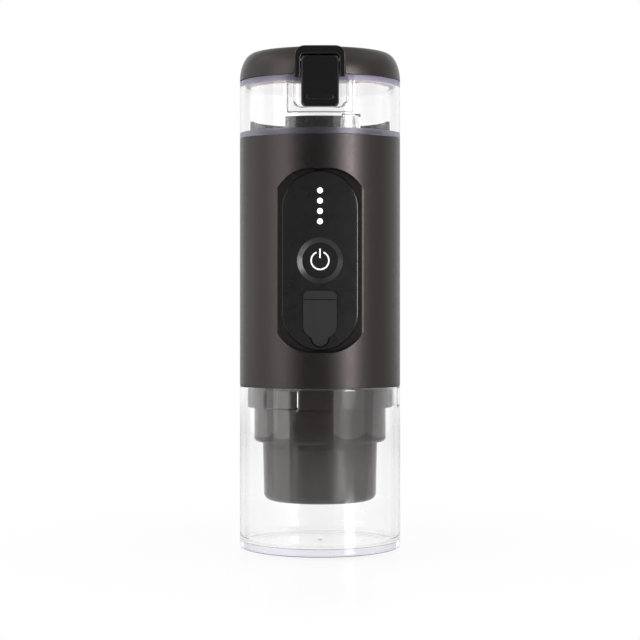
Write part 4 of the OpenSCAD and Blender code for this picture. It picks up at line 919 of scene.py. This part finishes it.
class InnerWorks(bpy.types.Operator):
    """Finishes the pump, battery and chassis"""

    bl_idname = "espresso.inner_works"
    bl_label = "Inner Works"

    def execute(self, context):
        finish = context.scene.espresso_finish
        dress(moulded_abs(finish), "chassis", "cell_holder", "pump_head")
        dress(shrink_wrap(), "battery_cells")
        dress(plated_can(), "pump_motor")
        dress(brushed_steel(), "chassis_screws")
        dress(silicone_rubber(), "inlet_hose")
        dress(cast_aluminium(), "heating_element", "temperature_sensor")
        return {"FINISHED"}


class Studio(bpy.types.Operator):
    """Sets up the floor, the light and the camera"""

    bl_idname = "espresso.studio"
    bl_label = "Studio"

    def execute(self, context):
        scene, studio = context.scene, context.scene.espresso_studio
        scene.view_settings.view_transform = "Standard"
        self.lay_floor(scene)
        self.light_world(scene)
        self.hang_softboxes(scene, studio.light_back)
        self.aim_camera(scene, studio)
        return {"FINISHED"}

    def lay_floor(self, scene):
        """A level square round the origin, 12 metres wide."""
        span = np.array([-6.0, 6.0])
        x, y = np.meshgrid(span, span)
        corners = np.stack([x, y, 0 * x], axis=-1).reshape(-1, 3)
        mesh = bpy.data.meshes.new("floor")
        mesh.from_pydata(corners.tolist(), [], grid_faces(2, 2).tolist())
        floor = bpy.data.objects.new("floor", mesh)
        scene.collection.objects.link(floor)
        mesh.materials.append(self.pale_floor())

    def hang_softboxes(self, scene, back):
        """Upright area lights on a circle of the radius back, facing the object's axis.

        A lamp's power is four times the product of its brightness and its area.
        """
        warm, rosy = (1.0, 0.98, 0.97), (1.0, 0.975, 0.97)
        # Angle from the camera's side round to the right and half width, in degrees, then foot, height,
        # brightness and colour
        boxes = {
            "key": (42, 7, 0.05, 0.35, 7.5, warm),
            "key_halo": (43, 24, 0.0, 0.45, 0.6, warm),
            "right_fill": (94, 26, 0.0, 0.8, 0.4, (1.0, 0.98, 0.98)),
            "left_wall": (-92, 27, 0.0, 0.8, 0.75, rosy),
            "left_strip": (-56, 12, 0.0, 0.65, 1.3, rosy),
            "left_soft": (-43, 8, 0.07, 0.58, 1.1, rosy),
            "panel_rim": (90, 6, 0.0, 0.4, 9.0, (1.0, 1.0, 1.0)),
        }
        for name, (turn, half, foot, tall, bright, colour) in boxes.items():
            turn = np.radians(turn)
            lamp = bpy.data.lights.new(name, "AREA")
            lamp.shape = "RECTANGLE"
            lamp.size = 2 * back * np.tan(np.radians(half))
            lamp.size_y = tall
            lamp.color = colour
            lamp.energy = 4 * bright * lamp.size * lamp.size_y
            box = bpy.data.objects.new(name, lamp)
            box.location = (back * np.sin(turn), -back * np.cos(turn), foot + tall / 2)
            box.rotation_euler = (np.pi / 2, 0, turn)
            box.visible_camera = False
            scene.collection.objects.link(box)

        # The rim strip only grazes the control panel, so that its bevel shows as a fine line
        panel_only = bpy.data.collections.new("panel_only")
        panel_only.objects.link(frame["nodes"]["control_panel"])
        bpy.data.objects["panel_rim"].light_linking.receiver_collection = panel_only

    def aim_camera(self, scene, studio):
        """A level camera in front, shifted so that the whole object stands in the frame."""
        view = bpy.data.cameras.new("camera")
        view.lens = studio.lens
        view.sensor_width = 36
        view.shift_y = -0.058
        camera = bpy.data.objects.new("camera", view)
        camera.location = (0, -studio.camera_back, studio.camera_height)
        camera.rotation_euler = (np.pi / 2, 0, 0)
        scene.collection.objects.link(camera)
        scene.camera = camera

    def straight_view(self, tree, depth, below=None):
        """1 on rays from the camera, and on those that only passed through clear plastic.

        Rays that were turned inside a single wall of it, of two surfaces, and left backwards, at a depth
        above 0, see a little less, and so do all turned ones where below is 1.
        """
        math, none, one_wall, little_less = "ShaderNodeMath", 0.5, 2.5, 0.85
        path = add_node(tree, "ShaderNodeLightPath").outputs
        passed = path["Transmission Depth"]
        unturned = add_node(tree, math, {"operation": "LESS_THAN", 1: none}, {0: path["Glossy Depth"]})
        thin = add_node(tree, math, {"operation": "LESS_THAN", 1: one_wall}, {0: passed})
        backwards = add_node(tree, math, {"operation": "GREATER_THAN", 1: 0.0}, {0: depth})
        turned = add_node(tree, math, {"operation": "MULTIPLY"}, {0: thin, 1: backwards})
        if below:
            turned = add_node(tree, math, {"operation": "MAXIMUM"}, {0: turned, 1: below})
        dimmed = add_node(tree, math, {"operation": "MULTIPLY", 1: little_less}, {0: turned})
        bright = add_node(tree, math, {"operation": "MAXIMUM"}, {0: unturned, 1: dimmed})
        entered = add_node(tree, math, {"operation": "GREATER_THAN", 1: none}, {0: passed})
        sharp = add_node(tree, math, {"operation": "LESS_THAN", 1: none}, {0: path["Diffuse Depth"]})
        through = add_node(tree, math, {"operation": "MULTIPLY"}, {0: entered, 1: sharp})
        seen = add_node(tree, math, {"operation": "MULTIPLY"}, {0: through, 1: bright})
        return add_node(tree, math, {"operation": "MAXIMUM"}, {0: path["Is Camera Ray"], 1: seen})

    def pale_floor(self):
        # Glossy white sweep: an even white to the camera and through clear plastic, with a faint contact
        # shadow, partly painted shade and partly the sweep's real shadow, that rises behind the object in a
        # white cove. Other rays see it grey, darkened with the distance by painted shade, and mirroring the
        # softboxes, so that the dark finishes keep their depth.
        material, tree, place = start_material("glossy_white_sweep")
        math, ramp, smooth = "ShaderNodeMath", "ShaderNodeMapRange", {"interpolation_type": "SMOOTHSTEP"}
        away = add_node(tree, "ShaderNodeVectorMath", {"operation": "LENGTH"}, {0: place}).outputs["Value"]
        depth = add_node(tree, "ShaderNodeSeparateXYZ", (), {0: place}).outputs["Y"]
        grain = add_node(tree, "ShaderNodeTexNoise", {"Scale": per_metre(40)}, {"Vector": place})
        shade = add_node(tree, ramp, {"To Min": 0.4, "To Max": 0.42}, {"Value": grain})
        # near darkens the sweep's colour from 1 to 0.1 between 0.25 and 0.7 m away: painted shade
        near = add_node(
            tree, ramp, {**smooth, "From Min": 0.25, "From Max": 0.7, "To Min": 1.0, "To Max": 0.1},
            {"Value": away})
        tone = add_node(tree, math, {"operation": "MULTIPLY"}, {0: near, 1: shade})
        matt = add_node(tree, "ShaderNodeBsdfDiffuse", (), {"Color": tone})
        mirror = add_node(tree, "ShaderNodeBsdfGlossy", {"Color": (0.5, 0.5, 0.5, 1), "Roughness": 0.12})
        sweep = add_node(tree, "ShaderNodeAddShader", (), {0: matt, 1: mirror})
        white = add_node(tree, "ShaderNodeEmission", {"Strength": 1.0})
        # plain dims the white to 0.85 next to the axis and lets the sweep's real shadow through: painted
        # contact shadow
        plain = add_node(
            tree, ramp, {**smooth, "From Min": 0.03, "From Max": 0.2, "To Min": 0.85, "To Max": 1.0},
            {"Value": away})
        below_cup = add_node(tree, math, {"operation": "LESS_THAN", 1: float(cad_box[1][0])}, {0: away})
        behind = add_node(tree, math, {"operation": "ADD", 1: 0.1}, {0: depth})
        straight = self.straight_view(tree, behind, below_cup)
        level = add_node(tree, math, {"operation": "MULTIPLY"}, {0: plain, 1: straight})
        cove = add_node(tree, ramp, {**smooth, "From Min": 0.4, "From Max": 1.0}, {"Value": depth})
        share = add_node(tree, math, {"operation": "MAXIMUM"}, {0: level, 1: cove})
        both = add_node(tree, "ShaderNodeMixShader", (), {0: share, 1: sweep, 2: white})
        add_node(tree, "ShaderNodeOutputMaterial", (), {"Surface": both})
        return material

    def light_world(self, scene):
        """White to the camera and straight through clear plastic.

        Other rays see a white wall behind, a ceiling lit at both sides and a dim front.
        """
        world = bpy.data.worlds.new("studio")
        scene.world = world
        world.use_nodes = True
        tree = world.node_tree
        tree.nodes.clear()
        math, ramp, smooth = "ShaderNodeMath", "ShaderNodeMapRange", {"interpolation_type": "SMOOTHSTEP"}
        direction = add_node(tree, "ShaderNodeTexCoord").outputs["Generated"]
        part = add_node(tree, "ShaderNodeSeparateXYZ", (), {0: direction}).outputs
        behind = add_node(
            tree, ramp, {**smooth, "From Min": 0.25, "From Max": 0.9, "To Min": 0.1, "To Max": 1.0},
            {"Value": part["Y"]})
        aside = add_node(tree, math, {"operation": "ABSOLUTE"}, {0: part["X"]})
        side = add_node(
            tree, ramp, {**smooth, "From Min": 0.05, "From Max": 0.4, "To Min": 0.35, "To Max": 0.95},
            {"Value": aside})
        above = add_node(tree, ramp, {**smooth, "From Min": 0.35, "From Max": 0.75}, {"Value": part["Z"]})
        ceiling = add_node(tree, math, {"operation": "MULTIPLY"}, {0: side, 1: above})
        room = add_node(tree, math, {"operation": "MAXIMUM"}, {0: behind, 1: ceiling})
        straight = self.straight_view(tree, part["Y"])
        strength = add_node(tree, math, {"operation": "MAXIMUM"}, {0: room, 1: straight})
        light = add_node(tree, "ShaderNodeBackground", {"Color": (1, 1, 1, 1)}, {"Strength": strength})
        add_node(tree, "ShaderNodeOutputWorld", (), {"Surface": light})


class EspressoPanel(bpy.types.Panel):
    """Lists the steps"""

    bl_idname = "VIEW3D_PT_espresso_maker"
    bl_label = "Espresso Maker"
    bl_space_type = "VIEW_3D"
    bl_region_type = "UI"
    bl_category = "Espresso Maker"

    def draw(self, context):
        for step in STEPS:
            self.layout.operator(step.bl_idname)


SETTINGS = {
    "espresso_shape": ShapeSettings, "espresso_finish": FinishSettings, "espresso_studio": StudioSettings}
STEPS = (PaintedShell, ClearCup, ClearTank, Latch, ControlPanel, BrewGroup, InnerWorks, Studio)
CLASSES = (*SETTINGS.values(), *STEPS, EspressoPanel)


def register():
    """Registers the classes and gives the scene its settings."""
    for item in CLASSES:
        bpy.utils.register_class(item)
    for name, group in SETTINGS.items():
        setattr(bpy.types.Scene, name, PointerProperty(type=group))


def unregister():
    """Takes back what register did."""
    for name in SETTINGS:
        delattr(bpy.types.Scene, name)
    for item in reversed(CLASSES):
        bpy.utils.unregister_class(item)


def main():
    """Runs every step in order."""
    register()
    for step in STEPS:
        group, name = step.bl_idname.split(".")
        getattr(getattr(bpy.ops, group), name)()


if __name__ == "__main__":
    main()
